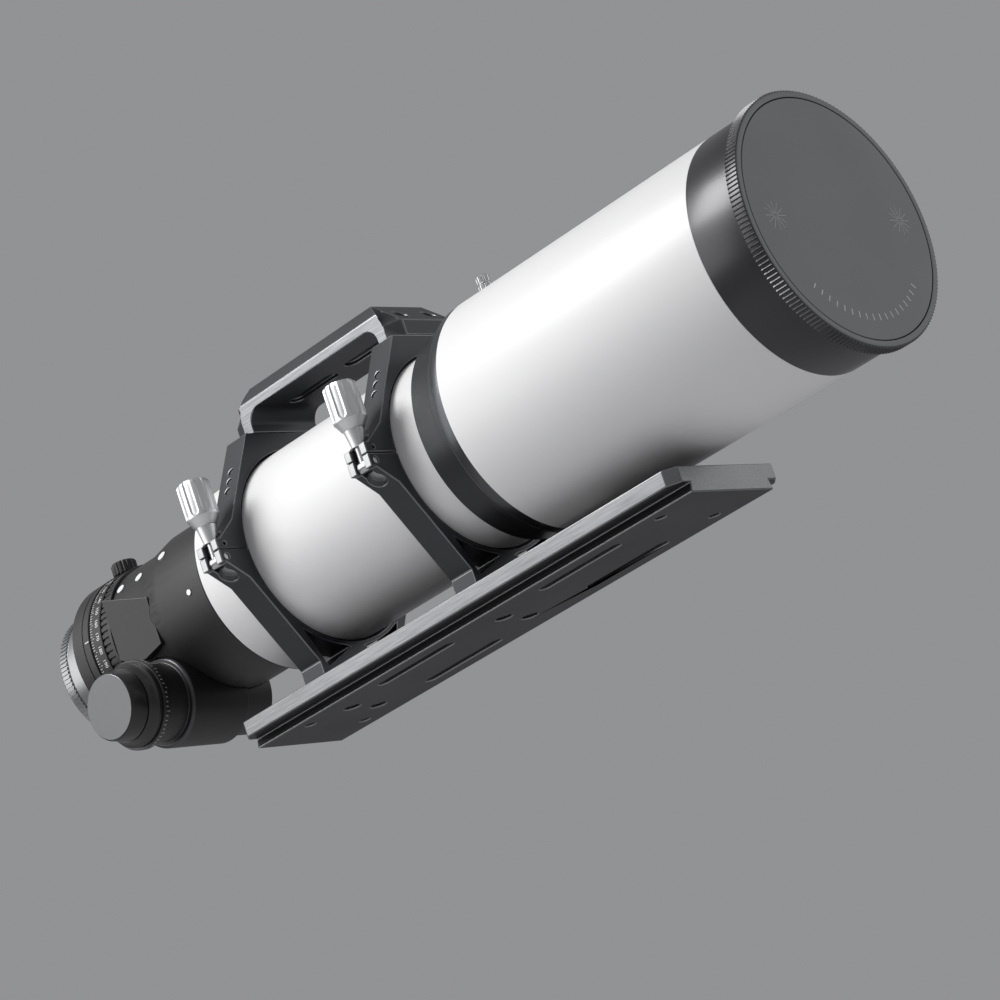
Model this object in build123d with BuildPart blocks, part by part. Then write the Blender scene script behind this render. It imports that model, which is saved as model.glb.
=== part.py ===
from build123d import *
import math
import os

# Refractor astrograph: a lens telescope tube in two clamshell rings with a carry handle,
# on a wide dovetail plate.  Millimetres.
# Frame: +X runs along the optical axis towards the sky, -Y is the side of the ring clamps and
# the focus knob, +Z is up.  The origin is the middle of the dovetail plate's underside.
# Names that end in _X, _Y or _Z are places, _R are radii, the rest are lengths or counts.

# ---------------------------------------------------------------- clearances
SLIDE_GAP = 0.3
RUNNING_GAP = 0.05
FACE_GAP = 0.2
PRESS_GAP = 0.02
HOLE_GAP = 0.25

# ---------------------------------------------------------------- driving dimensions
# dovetail plate
PLATE_LENGTH = 409.0
FLANGE_WIDTH = 101.6
FLANGE_THICK = 10.4
FLANGE_CORNER = 7.0
BLOCK_WIDTH = 76.2
BLOCK_DEPTH = 6.5
BLOCK_DRAFT = 15.0
PLATE_BOLT_SPAN_X = 330.0
PLATE_BOLT_SPAN_Y = 50.0
PLATE_BOLT_HOLE_R = 3.3
PLATE_SLOT_LENGTH = 70.0
PLATE_SLOT_WIDTH = 7.0
PLATE_SLOT_Y = 22.0
FOOT_SCREW_Y = 12.0
FOOT_SCREW_R = 3.0
FOOT_SCREW_GRIP = 11.0
FOOT_HEAD_R = 5.0
FOOT_HEAD_HEIGHT = 6.0
FOOT_COUNTERBORE = 8.0

# optical tube
TUBE_R = 67.1
TUBE_WALL = 2.5
TUBE_FRONT_X = 150.0
TUBE_TAIL = 31.0
END_RING_LENGTH = 6.0
END_RING_BEVEL = 5.0
END_RING_SPIGOT = 10.0

# tube rings
RING_FRONT_X = 20.7
RING_THICK = 20.0
RING_SPACING = 147.7
RING_TOP_WALL = 13.4
RING_SHOULDER_WALL = 7.4
RING_FACET_WALL = 5.45
RING_SHOULDER_Z = 20.4
RING_WEB_WALL = 4.8
FELT_THICK = 1.45
SPLIT_GAP = 0.5
FOOT_HEIGHT = 13.1
LUG_REACH = 26.9
LUG_UP = 7.5
LUG_DOWN = 9.0
LUG_LEDGE = 3.5
SLOT_WIDTH = 8.4
STUD_INSET = 5.5
STUD_R = 3.3
STUD_TOP = 12.5
STUD_PIVOT_DROP = 5.0
STUD_PIVOT_R = 2.0
STUD_EYE_R = 3.9
KNUCKLE_R = 7.0
HINGE_REACH = 16.9
PIN_R = 2.5
SET_SCREW_R = 2.1
SET_SCREW_LENGTH = 4.0
SET_SCREW_PITCH = 8.0
LUG_PIN_HOLE_R = 1.2

# clamp knobs
KNOB_HEAD_R = 11.0
KNOB_HEAD_LENGTH = 25.0
KNOB_CONE_LENGTH = 6.0
KNOB_NECK_LENGTH = 12.0
KNOB_NECK_R = 6.6
KNOB_FOOT_R = 5.0
KNOB_BORE_GAP = 0.7
KNOB_FLUTES = 10
KNOB_FLUTE_R = 2.0

# carry handle
HANDLE_HALF_WIDTH = 29.6
HANDLE_SIDE_INSET = 6.4
HANDLE_END_INSET = 12.0
HANDLE_RISE = 30.5
HANDLE_SIDE_RISE = 20.8
HANDLE_GAP_RISE = 14.8
HANDLE_END_RISE = 11.0
HANDLE_SLOPE = 22.0
HANDLE_GRIP_RADIUS = 10.0
HANDLE_HOLE_SPAN_X = 80.0
HANDLE_HOLE_SPAN_Y = 28.0
HANDLE_HOLE_R = 2.5
HANDLE_HOLE_DEPTH = 9.0
HANDLE_SCREW_Y = 13.0
HANDLE_SCREW_R = 2.5
HANDLE_HEAD_R = 4.25
HANDLE_HEAD_HEIGHT = 5.0
HANDLE_SCREW_GRIP = 9.0
HANDLE_FLOOR = 6.0

# sliding dew shield and its collar
SHIELD_STEP = 13.4
SHIELD_WALL = 2.5
SHIELD_LENGTH = 221.0
SHIELD_TRAVEL = 46.0
SHIELD_PARK_GAP = 4.3
BAND_LENGTH = 35.0
BAND_WALL = 3.9
BAND_SPIGOT = 8.0
REAR_RING_LENGTH = 8.0
REAR_RING_INSET = 0.3
COLLAR_STEP = 9.2
COLLAR_REAR_STEP = 6.7
COLLAR_SEEN = 6.0
COLLAR_REAR_LENGTH = 18.5
COLLAR_FRONT_X = 130.0
SHIELD_FELT_LENGTH = 15.0
LOCK_SHANK_R = 2.0
LOCK_NECK_R = 2.8
LOCK_NECK_LENGTH = 4.0
LOCK_HEAD_R = 4.6
LOCK_HEAD_LENGTH = 10.6

# front cap
CAP_RIM_STEP = 3.7
CAP_RIM_LENGTH = 9.0
CAP_WEB = 6.0
CAP_WEB_WIDTH = 13.0
CAP_SKIRT_LENGTH = 12.0
CAP_SKIRT_WALL = 2.2
COVER_LIP = 5.5
COVER_PLUG = 3.5
MASK_THICK = 2.0
MASK_CLEAR = 66.0
MASK_SLOT = 4.4
MASK_PITCH = 9.0
MASK_TILT = 20.0
MASK_SPINE = 5.0

# objective
LENS_R = 57.5
LENS_LAND = 3.2
CELL_REAR_X = 102.0
RETAINING_LENGTH = 7.8
CELL_LIP = 3.0
CELL_LIP_DEPTH = 2.5
CELL_FLANGE_LENGTH = 6.0
CELL_FLANGE_STEP = 7.0
BAFFLE_THICK = 1.5
BAFFLES = ((60.0, 52.0), (0.0, 48.0), (-80.0, 43.0))

# focuser housing
HOUSING_FRONT_STEP = 9.6
HOUSING_REAR_R = 53.5
HOUSING_BORE_R = 49.5
HOUSING_FRONT_LENGTH = 49.0
HOUSING_CONE_LENGTH = 23.0
HOUSING_NECK_LENGTH = 30.0
HOUSING_SPIGOT = 8.0
HOUSING_END_WALL = 1.8
BULKHEAD_R = 40.0
BULKHEAD_THICK = 3.0
PANEL_Y = -55.4
PANEL_THICK = 12.0
HOUSING_SCREW_ANGLE = 139.5
HOUSING_SCREW_R = 3.3
HOUSING_SCREW_HEIGHT = 1.4
HOUSING_PIN_R = 1.9
SEAT_DEPTH = 0.6

# focus drive
PINION_INSET = 21.8
PINION_DROP = 52.9
PINION_BOSS_R = 26.0
PINION_BOSS_REACH = 68.4
PINION_BOSS_BACK = 26.0
BOSS_FLANGE_R = 30.5
BOSS_FLANGE_REACH = 50.0
GEAR_MODULE = 0.8
GEAR_TEETH = 18
GEAR_WIDTH = 8.0
GEAR_BACKLASH = 0.16
PRESSURE_ANGLE = 20.0
SHAFT_R = 2.5
BUSH_R = 4.5
BUSH_LENGTH = 10.0
BUSH_INSET = 6.0
SHAFT_CLEARANCE = 0.7
BOSS_EDGE = 1.5
CARRIAGE_R = 41.8
CARRIAGE_WALL = 3.6
CARRIAGE_FRONT_GAP = 21.0
CARRIAGE_REAR_GAP = 14.0
CARRIAGE_TRAVEL = 8.0
ROD_R = 3.0
ROD_CIRCLE_R = 45.0
ROD_LUG_R = 4.2
ROD_ANGLES = (60.0, 120.0)
RACK_SPARE = 3.2
CORRECTOR_RING = 4.0

# focus knobs, as distances out from the optical axis along the pinion shaft
DIAL_REACH = 69.4
DIAL_R = 30.0
DIAL_LENGTH = 5.8
COARSE_KNOB_R = 28.2
COARSE_RIM_LENGTH = 3.4
COARSE_CONE_LENGTH = 5.2
COARSE_NOSE_R = 24.5
FINE_KNOB_R = 22.4
FINE_KNOB_LENGTH = 12.4
FACE_DISC_R = 21.6
FACE_DISC_THICK = 0.6
FINE_SHAFT_R = 1.5
FINE_SHAFT_LENGTH = 16.0

# rotator and visual back
ROTATOR_BASE_R = 55.5
ROTATOR_BASE_LENGTH = 9.3
ROTATOR_BASE_BORE_R = 44.0
ROTATOR_NOTCHES = 72
ROTATOR_NOTCH_WIDTH = 1.6
ROTATOR_NOTCH_DEPTH = 1.0
ROTATOR_NOTCH_END = 3.0
SPIGOT_R = 50.0
SCALE_R = 56.2
SCALE_LENGTH = 11.6
ROTATOR_R = 57.0
ROTATOR_LENGTH = 20.6
ROTATOR_LIP = 8.5
ROTATOR_BEVEL = 3.0
ROTATOR_REAR_WALL = 5.0
ROTATOR_BORE_R = 36.0
RETAINER_STEP = 2.2
RETAINER_THICK = 3.6
ROTATOR_LOCK_X_INSET = 4.6
ROTATOR_LOCK_R = 9.0
ROTATOR_LOCK_LENGTH = 9.0
BACK_R = 46.5
BACK_LENGTH = 28.0
BACK_BEVEL = 2.0
CAMERA_THREAD_R = 33.5
CAMERA_THREAD_LENGTH = 8.0
CAMERA_BORE_R = 25.45
BACK_SCREW_INSET = 10.0
BACK_SCREW_ANGLES = {"upper": 20.0, "lower": 320.0}
BACK_SCREW_HEAD_R = 7.5
BACK_SCREW_HEAD_LENGTH = 13.0

# ---------------------------------------------------------------- derived radii
RING_BORE_R = TUBE_R + FELT_THICK
RING_TOP = TUBE_R + RING_TOP_WALL
RING_SHOULDER_Y = TUBE_R + RING_SHOULDER_WALL
RING_WEB_R = TUBE_R + RING_WEB_WALL
# the clamp side's facet runs from the shoulder and keeps its wall outside the bore
FACET_R = RING_BORE_R + RING_FACET_WALL
FACET_TURN = math.atan2(RING_SHOULDER_Z, RING_SHOULDER_Y) + math.acos(
    FACET_R / math.hypot(RING_SHOULDER_Y, RING_SHOULDER_Z)
)
RING_TOP_HALF = (FACET_R - RING_TOP * math.sin(FACET_TURN)) / math.cos(FACET_TURN)
LUG_OUT = TUBE_R + LUG_REACH
HINGE_Y = TUBE_R + HINGE_REACH
STUD_Y = -(LUG_OUT - STUD_INSET)
SHIELD_R = TUBE_R + SHIELD_STEP
SHIELD_BORE_R = SHIELD_R - SHIELD_WALL
BAND_BORE_R = SHIELD_R - BAND_WALL
COLLAR_R = TUBE_R + COLLAR_STEP
COLLAR_REAR_R = TUBE_R + COLLAR_REAR_STEP
CAP_RIM_R = SHIELD_R + CAP_RIM_STEP
CAP_SKIRT_R = BAND_BORE_R - SLIDE_GAP
CAP_SKIRT_BORE_R = CAP_SKIRT_R - CAP_SKIRT_WALL
CAP_WEB_R = CAP_RIM_R - CAP_WEB_WIDTH
COVER_R = CAP_RIM_R - COVER_LIP
HOUSING_FRONT_R = TUBE_R - HOUSING_FRONT_STEP
CELL_BORE_R = LENS_R + SLIDE_GAP
PITCH_R = GEAR_MODULE * GEAR_TEETH / 2

# ---------------------------------------------------------------- derived places
PLATE_TOP = BLOCK_DEPTH + FLANGE_THICK
AXIS_HEIGHT = PLATE_TOP + FOOT_HEIGHT + RING_TOP
RING_FACES = {"front": RING_FRONT_X, "rear": RING_FRONT_X - RING_SPACING}
RING_MIDDLES = [face - RING_THICK / 2 for face in RING_FACES.values()]
SHIELD_REAR_X = RING_FRONT_X + SHIELD_PARK_GAP + SHIELD_TRAVEL + REAR_RING_LENGTH
SHIELD_FRONT_X = SHIELD_REAR_X + SHIELD_LENGTH
BAND_FRONT_X = SHIELD_FRONT_X + BAND_LENGTH
CAP_SEAT_X = BAND_FRONT_X + FACE_GAP
CAP_FRONT_X = CAP_SEAT_X + CAP_RIM_LENGTH
COLLAR_STEP_X = SHIELD_REAR_X - REAR_RING_LENGTH - COLLAR_SEEN
COLLAR_REAR_X = COLLAR_STEP_X - COLLAR_REAR_LENGTH
TUBE_REAR_X = RING_FACES["rear"] - RING_THICK - TUBE_TAIL
HOUSING_FRONT_X = TUBE_REAR_X - END_RING_LENGTH
HOUSING_CONE_X = HOUSING_FRONT_X - HOUSING_FRONT_LENGTH
HOUSING_NECK_X = HOUSING_CONE_X - HOUSING_CONE_LENGTH
HOUSING_REAR_X = HOUSING_NECK_X - HOUSING_NECK_LENGTH
CARRIAGE_FRONT_X = HOUSING_FRONT_X - CARRIAGE_FRONT_GAP
CARRIAGE_REAR_X = HOUSING_REAR_X + CARRIAGE_REAR_GAP
PINION_X = HOUSING_REAR_X + PINION_INSET
PINION_Z = AXIS_HEIGHT - PINION_DROP
BASE_REAR_X = HOUSING_REAR_X - ROTATOR_BASE_LENGTH
SCALE_REAR_X = BASE_REAR_X - FACE_GAP - SCALE_LENGTH
ROTATOR_FRONT_X = SCALE_REAR_X - SLIDE_GAP
ROTATOR_REAR_X = ROTATOR_FRONT_X - ROTATOR_LENGTH
SPIGOT_REAR_X = ROTATOR_FRONT_X - ROTATOR_LIP - SLIDE_GAP
BACK_FRONT_X = ROTATOR_REAR_X
BACK_REAR_X = BACK_FRONT_X - BACK_LENGTH
SPLIT_HALF = SPLIT_GAP / 2

optical_axis = Axis((0, 0, AXIS_HEIGHT), (1, 0, 0))
pinion_axis = Axis((PINION_X, 0, PINION_Z), (0, -1, 0))
side_plane = Plane(origin=(0, 0, AXIS_HEIGHT), x_dir=(1, 0, 0), z_dir=(0, -1, 0))
pinion_plane = Plane(origin=(PINION_X, 0, PINION_Z), x_dir=(0, -1, 0), z_dir=(1, 0, 0))


def cross_plane(x):
    """The plane across the optical axis at x: its own x is +Y, its own y is +Z."""
    return Plane(origin=(x, 0, AXIS_HEIGHT), x_dir=(0, 1, 0), z_dir=(1, 0, 0))


def radial_plane(x, angle, radius):
    """A plane whose normal points out from the optical axis, at an angle from +Y."""
    turn = math.radians(angle)
    out = Vector(0, math.cos(turn), math.sin(turn))
    return Plane(origin=Vector(x, 0, AXIS_HEIGHT) + out * radius, x_dir=(1, 0, 0), z_dir=out)


def shaft_plane(reach):
    """A plane across the pinion shaft, a distance out towards -Y, facing out."""
    return Plane(origin=(PINION_X, -reach, PINION_Z), x_dir=(1, 0, 0), z_dir=(0, -1, 0))


def outline_face(plane, outline):
    """A flat face with straight sides, on a plane."""
    with BuildSketch(plane) as section:
        with BuildLine():
            Polyline(outline, close=True)
        make_face()
    return section.sketch


def turned(outline, mode=Mode.ADD):
    """Turns an outline of (x, radius) points about the optical axis."""
    revolve(outline_face(side_plane, outline), axis=optical_axis, mode=mode)


def knob_turned(outline, mode=Mode.ADD):
    """Turns an outline of (reach, radius) points about the pinion shaft."""
    revolve(outline_face(pinion_plane, outline), axis=pinion_axis, mode=mode)


def tube(x_rear, x_front, r_inner, r_outer, mode=Mode.ADD):
    """A plain ring about the optical axis, or a bar or bore when the inner radius is 0."""
    with BuildSketch(cross_plane(x_rear)) as section:
        Circle(r_outer)
        if r_inner > 0:
            Circle(r_inner, mode=Mode.SUBTRACT)
    extrude(section.sketch, amount=x_front - x_rear, mode=mode)


def rod(plane, radius, length, mode=Mode.ADD):
    """A round bar or hole that starts on a plane and runs along its normal."""
    with BuildSketch(plane) as section:
        Circle(radius)
    extrude(section.sketch, amount=length, mode=mode)


def socket_head(plane, head_r, head_height, shank_r, shank_length):
    """A cap screw: the head stands up from the plane and the shank runs down from it."""
    rod(plane, head_r, head_height)
    rod(plane.offset(-shank_length), shank_r, shank_length)
    with BuildSketch(plane.offset(head_height)) as key:
        RegularPolygon(head_r / 2, 6)
    extrude(key.sketch, amount=-head_height / 2, mode=Mode.SUBTRACT)


def lens_arc(x_rim, sag, radius):
    """The half outline of one spherical lens face, from the axis out to its flat rim land."""
    sphere_r = (radius**2 + sag**2) / (2 * abs(sag))
    middle_sag = math.copysign(sphere_r - math.sqrt(sphere_r**2 - radius**2 / 4), sag)
    ThreePointArc((x_rim + sag, 0), (x_rim + sag - middle_sag, radius / 2), (x_rim, radius))
    Line((x_rim, radius), (x_rim, radius + LENS_LAND))


def lens(x_rear, x_front, sag_rear, sag_front, radius):
    """A lens between two rim planes; a sag is how far the face bulges forward at the axis."""
    with BuildSketch(side_plane) as section:
        with BuildLine():
            Line((x_rear + sag_rear, 0), (x_front + sag_front, 0))
            lens_arc(x_front, sag_front, radius - LENS_LAND)
            Line((x_front, radius), (x_rear, radius))
            lens_arc(x_rear, sag_rear, radius - LENS_LAND)
        make_face()
    revolve(section.sketch, axis=optical_axis)


def finish(piece, name):
    """Names a finished piece and writes it."""
    piece.part.label = name
    export_step(piece.part, f"parts/{name}.step")


os.makedirs("parts", exist_ok=True)

# ---------------------------------------------------------------- dovetail plate
foot_screw_spots = [(x, side * FOOT_SCREW_Y) for x in RING_MIDDLES for side in (-1, 1)]
slot_spots = [
    (x, side * PLATE_SLOT_Y)
    for x in (RING_FRONT_X + PLATE_SLOT_LENGTH, sum(RING_MIDDLES) / 2)
    for side in (-1, 1)
]
block_neck = BLOCK_WIDTH / 2 - BLOCK_DEPTH * math.tan(math.radians(BLOCK_DRAFT))

with BuildPart() as plate:
    with BuildSketch(Plane.XY.offset(BLOCK_DEPTH)):
        Rectangle(PLATE_LENGTH, FLANGE_WIDTH)
    extrude(amount=FLANGE_THICK)
    chamfer(plate.edges().filter_by(Axis.Z), FLANGE_CORNER)
    with BuildSketch(Plane.YZ.offset(-PLATE_LENGTH / 2)):
        with BuildLine():
            Polyline(
                (-BLOCK_WIDTH / 2, 0),
                (BLOCK_WIDTH / 2, 0),
                (block_neck, BLOCK_DEPTH),
                (-block_neck, BLOCK_DEPTH),
                close=True,
            )
        make_face()
    extrude(amount=PLATE_LENGTH)
    with BuildSketch(Plane.XY):
        with GridLocations(PLATE_BOLT_SPAN_X, PLATE_BOLT_SPAN_Y, 2, 2):
            Circle(PLATE_BOLT_HOLE_R)
        with Locations(slot_spots):
            SlotOverall(PLATE_SLOT_LENGTH, PLATE_SLOT_WIDTH)
        with Locations(foot_screw_spots):
            Circle(FOOT_SCREW_R + HOLE_GAP)
    extrude(amount=PLATE_TOP, mode=Mode.SUBTRACT)
    with BuildSketch(Plane.XY):
        with Locations(foot_screw_spots):
            Circle(FOOT_HEAD_R + HOLE_GAP)
    extrude(amount=FOOT_COUNTERBORE, mode=Mode.SUBTRACT)
finish(plate, "dovetail_plate")

with BuildPart() as foot_screws:
    for x, y in foot_screw_spots:
        seat = Plane(origin=(x, y, FOOT_COUNTERBORE), x_dir=(1, 0, 0), z_dir=(0, 0, -1))
        shank = PLATE_TOP - FOOT_COUNTERBORE + FOOT_SCREW_GRIP
        socket_head(seat, FOOT_HEAD_R, FOOT_HEAD_HEIGHT, FOOT_SCREW_R, shank)
finish(foot_screws, "ring_foot_screws")

# ---------------------------------------------------------------- tube rings
# Each ring is two halves that meet on a level plane through the optical axis.  The +Y side is
# a three-knuckle hinge, the -Y side is a slotted lug for a swing stud and a hand knob.
knuckle_width = RING_THICK / 3
hinge_root_y = HINGE_Y - KNUCKLE_R / 2
slot_back = STUD_R + 1.6
slot_open = LUG_OUT + STUD_Y + 1.0
knob_seat_r = KNOB_FOOT_R + 2.5
scoop_r = 6.0
scoop_depth = 4.5

facet_run = Vector(0, RING_TOP_HALF - RING_SHOULDER_Y, RING_SHOULDER_Z - RING_TOP).normalized()
facet_out = Vector(0, facet_run.Z, -facet_run.Y)


def half_outline(lug_height, foot_rise):
    """A ring half's outline on the cross plane, drawn upwards; foot_rise adds a square foot."""
    foot_z = RING_TOP + foot_rise
    clamp_side = [
        (-hinge_root_y, SPLIT_HALF),
        (-LUG_OUT, SPLIT_HALF),
        (-LUG_OUT, lug_height),
        (-LUG_OUT + LUG_LEDGE, lug_height),
        (-RING_SHOULDER_Y, RING_SHOULDER_Z),
        (-RING_TOP_HALF, RING_TOP),
    ]
    foot = [(-RING_TOP_HALF, foot_z), (RING_TOP_HALF, foot_z)] if foot_rise > 0 else []
    hinge_side = [
        (RING_TOP_HALF, RING_TOP),
        (RING_SHOULDER_Y, RING_SHOULDER_Z),
        (hinge_root_y, KNUCKLE_R),
        (hinge_root_y, SPLIT_HALF),
    ]
    return clamp_side + foot + hinge_side


def downwards(outline):
    """The same outline drawn below the split plane."""
    return [(y, -z) for y, z in outline]


def hinge_plane(x):
    """The cross plane at x with its origin on the rings' hinge axis."""
    return Plane(origin=(x, HINGE_Y, AXIS_HEIGHT), x_dir=(0, 1, 0), z_dir=(1, 0, 0))


def stud_plane(x, z):
    """A level plane at height z above the optical axis, centred on a clamp stud."""
    return Plane(origin=(x, STUD_Y, AXIS_HEIGHT + z), x_dir=(1, 0, 0), z_dir=(0, 0, 1))


def stud_slot(plane, depth):
    """Cuts the slot that the stud swings in, open towards -Y."""
    with BuildSketch(plane) as slot:
        with Locations((0, (slot_back - slot_open) / 2)):
            Rectangle(SLOT_WIDTH, slot_back + slot_open)
    extrude(slot.sketch, amount=depth, mode=Mode.SUBTRACT)


def facet_plane(x, step):
    """A plane on the clamp side's upper facet, facing out, a number of pitches down the facet."""
    facet_middle = Vector(
        x, -(RING_TOP_HALF + RING_SHOULDER_Y) / 2, AXIS_HEIGHT + (RING_TOP + RING_SHOULDER_Z) / 2
    )
    spot = facet_middle + facet_run * (step * SET_SCREW_PITCH)
    return Plane(origin=spot, x_dir=(1, 0, 0), z_dir=facet_out)


def window_corners():
    """The corners of the window between a lower half's round wall, its leg and its keel."""
    leg_top = math.radians(234)
    keel_top = math.radians(264.5)
    return [
        ((RING_WEB_R + 0.4) * math.cos(leg_top), (RING_WEB_R + 0.4) * math.sin(leg_top)),
        (-RING_TOP_HALF + 6.5, -RING_TOP - 3.5),
        ((RING_WEB_R + 0.8) * math.cos(keel_top), (RING_WEB_R + 0.8) * math.sin(keel_top)),
    ]


for name, face in RING_FACES.items():
    back = face - RING_THICK
    middle = face - RING_THICK / 2
    outer_knuckles = (back, face - knuckle_width)
    centre_knuckle = back + knuckle_width

    with BuildPart() as upper_half:
        extrude(outline_face(cross_plane(back), half_outline(LUG_UP, 0)), amount=RING_THICK)
        tube(back, face, 0, RING_BORE_R, Mode.SUBTRACT)
        for start in outer_knuckles:
            relief = knuckle_width + 2 * FACE_GAP
            rod(hinge_plane(start - FACE_GAP), KNUCKLE_R + SLIDE_GAP, relief, Mode.SUBTRACT)
        rod(hinge_plane(centre_knuckle + FACE_GAP), KNUCKLE_R, knuckle_width - 2 * FACE_GAP)
        rod(hinge_plane(back), PIN_R + RUNNING_GAP, RING_THICK, Mode.SUBTRACT)
        stud_slot(stud_plane(middle, 0), LUG_UP)
        rod(stud_plane(middle, LUG_UP), knob_seat_r, RING_SHOULDER_Z, Mode.SUBTRACT)
        with Locations(Plane(origin=(face, STUD_Y + 1.5, AXIS_HEIGHT + LUG_UP / 2), z_dir=(1, 0, 0))):
            Hole(LUG_PIN_HOLE_R, depth=4.0)
        for step in (-1, 0, 1):
            rod(facet_plane(middle, step), SET_SCREW_R + HOLE_GAP, -RING_TOP_WALL, Mode.SUBTRACT)
        for y in (-HANDLE_SCREW_Y, HANDLE_SCREW_Y):
            spot = middle + (1 if name == "front" else -1)
            top = Plane(origin=(spot, y, AXIS_HEIGHT + RING_TOP))
            rod(top, HANDLE_SCREW_R + HOLE_GAP, -HANDLE_SCREW_GRIP - HOLE_GAP, Mode.SUBTRACT)
    finish(upper_half, f"upper_ring_{name}")

    with BuildPart() as lower_half:
        lower_outline = downwards(half_outline(LUG_DOWN, FOOT_HEIGHT))
        extrude(outline_face(cross_plane(back), lower_outline), amount=RING_THICK)
        tube(back, face, 0, RING_BORE_R, Mode.SUBTRACT)
        with BuildSketch(cross_plane(back)) as windows:
            with BuildLine():
                Polyline(window_corners(), close=True)
            make_face()
            mirror(about=Plane.YZ)
            Circle(RING_WEB_R, mode=Mode.SUBTRACT)
        extrude(windows.sketch, amount=RING_THICK, mode=Mode.SUBTRACT)
        relief = knuckle_width + 2 * FACE_GAP
        rod(hinge_plane(centre_knuckle - FACE_GAP), KNUCKLE_R + SLIDE_GAP, relief, Mode.SUBTRACT)
        for start in outer_knuckles:
            rod(hinge_plane(start), KNUCKLE_R, knuckle_width)
        rod(hinge_plane(back), PIN_R + PRESS_GAP, RING_THICK, Mode.SUBTRACT)
        stud_slot(stud_plane(middle, 0), -RING_SHOULDER_Z)
        pivot = Plane(
            origin=(back, STUD_Y, AXIS_HEIGHT - STUD_PIVOT_DROP), x_dir=(0, 1, 0), z_dir=(1, 0, 0)
        )
        rod(pivot, STUD_PIVOT_R + PRESS_GAP, RING_THICK, Mode.SUBTRACT)
        scoop_out = Vector(0, -(RING_SHOULDER_Z - LUG_DOWN), -(LUG_OUT - LUG_LEDGE - RING_SHOULDER_Y))
        scoop_spot = Vector(
            middle,
            -(RING_SHOULDER_Y + LUG_OUT - LUG_LEDGE) / 2,
            AXIS_HEIGHT - (RING_SHOULDER_Z + LUG_DOWN) / 2,
        )
        scoop = Plane(origin=scoop_spot, x_dir=(1, 0, 0), z_dir=scoop_out)
        rod(scoop.offset(-scoop_depth), scoop_r, 2 * scoop_depth, Mode.SUBTRACT)
        for y in (-FOOT_SCREW_Y, FOOT_SCREW_Y):
            foot = Plane(origin=(middle, y, PLATE_TOP))
            rod(foot, FOOT_SCREW_R + HOLE_GAP, FOOT_SCREW_GRIP + HOLE_GAP, Mode.SUBTRACT)
    finish(lower_half, f"lower_ring_{name}")

with BuildPart() as hinge_pins:
    for face in RING_FACES.values():
        rod(hinge_plane(face - RING_THICK), PIN_R, RING_THICK)
finish(hinge_pins, "ring_hinge_pins")

with BuildPart() as clamp_studs:
    for middle in RING_MIDDLES:
        eye_width = SLOT_WIDTH - 2 * FACE_GAP
        eye = Plane(
            origin=(middle - eye_width / 2, STUD_Y, AXIS_HEIGHT - STUD_PIVOT_DROP),
            x_dir=(0, 1, 0),
            z_dir=(1, 0, 0),
        )
        rod(eye, STUD_EYE_R, eye_width)
        rod(stud_plane(middle, -STUD_PIVOT_DROP), STUD_R, STUD_PIVOT_DROP + STUD_TOP)
        rod(eye, STUD_PIVOT_R + RUNNING_GAP, eye_width, Mode.SUBTRACT)
finish(clamp_studs, "clamp_studs")

with BuildPart() as stud_pins:
    for middle in RING_MIDDLES:
        pin = Plane(
            origin=(middle - RING_THICK / 2 + 1, STUD_Y, AXIS_HEIGHT - STUD_PIVOT_DROP),
            x_dir=(0, 1, 0),
            z_dir=(1, 0, 0),
        )
        rod(pin, STUD_PIVOT_R, RING_THICK - 2)
finish(stud_pins, "clamp_stud_pins")

with BuildPart() as set_screws:
    for middle in RING_MIDDLES:
        for step in (-1, 0, 1):
            rod(facet_plane(middle, step).offset(-1), SET_SCREW_R, -SET_SCREW_LENGTH)
finish(set_screws, "ring_set_screws")

for half, side in (("lower", -1), ("upper", 1)):
    felt_r = TUBE_R + (RUNNING_GAP if side < 0 else SLIDE_GAP)
    with BuildPart() as felts:
        for face in RING_FACES.values():
            tube(face - RING_THICK + 1, face - 1, felt_r, RING_BORE_R)
        cutter = Plane.XY.offset(AXIS_HEIGHT + side * 2 * SPLIT_GAP)
        split(bisect_by=cutter, keep=Keep.TOP if side > 0 else Keep.BOTTOM)
    finish(felts, f"{half}_ring_felts")

# ---------------------------------------------------------------- clamp knobs
knob_foot_z = LUG_UP + RUNNING_GAP
knob_cone_z = knob_foot_z + KNOB_NECK_LENGTH
knob_head_z = knob_cone_z + KNOB_CONE_LENGTH
knob_top_z = knob_head_z + KNOB_HEAD_LENGTH
knob_edge = 1.5

for name, face in RING_FACES.items():
    middle = face - RING_THICK / 2
    knob_plane = Plane(origin=(middle, STUD_Y, AXIS_HEIGHT), x_dir=(1, 0, 0), z_dir=(0, -1, 0))
    knob_outline = [
        (0, knob_foot_z),
        (KNOB_FOOT_R, knob_foot_z),
        (KNOB_NECK_R, knob_cone_z),
        (KNOB_HEAD_R, knob_head_z),
        (KNOB_HEAD_R, knob_top_z - knob_edge),
        (KNOB_HEAD_R - knob_edge, knob_top_z),
        (0, knob_top_z),
    ]
    with BuildPart() as clamp_knob:
        knob_face = outline_face(knob_plane, knob_outline)
        revolve(knob_face, axis=Axis((middle, STUD_Y, 0), (0, 0, 1)))
        with BuildSketch(stud_plane(middle, knob_head_z)) as flutes:
            with PolarLocations(KNOB_HEAD_R + KNOB_FLUTE_R / 2, KNOB_FLUTES):
                Circle(KNOB_FLUTE_R)
        extrude(flutes.sketch, amount=KNOB_HEAD_LENGTH, mode=Mode.SUBTRACT)
        bore_depth = STUD_TOP - knob_foot_z + 3.0
        rod(stud_plane(middle, knob_foot_z), STUD_R + KNOB_BORE_GAP, bore_depth, Mode.SUBTRACT)
    finish(clamp_knob, f"clamp_knob_{name}")

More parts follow.
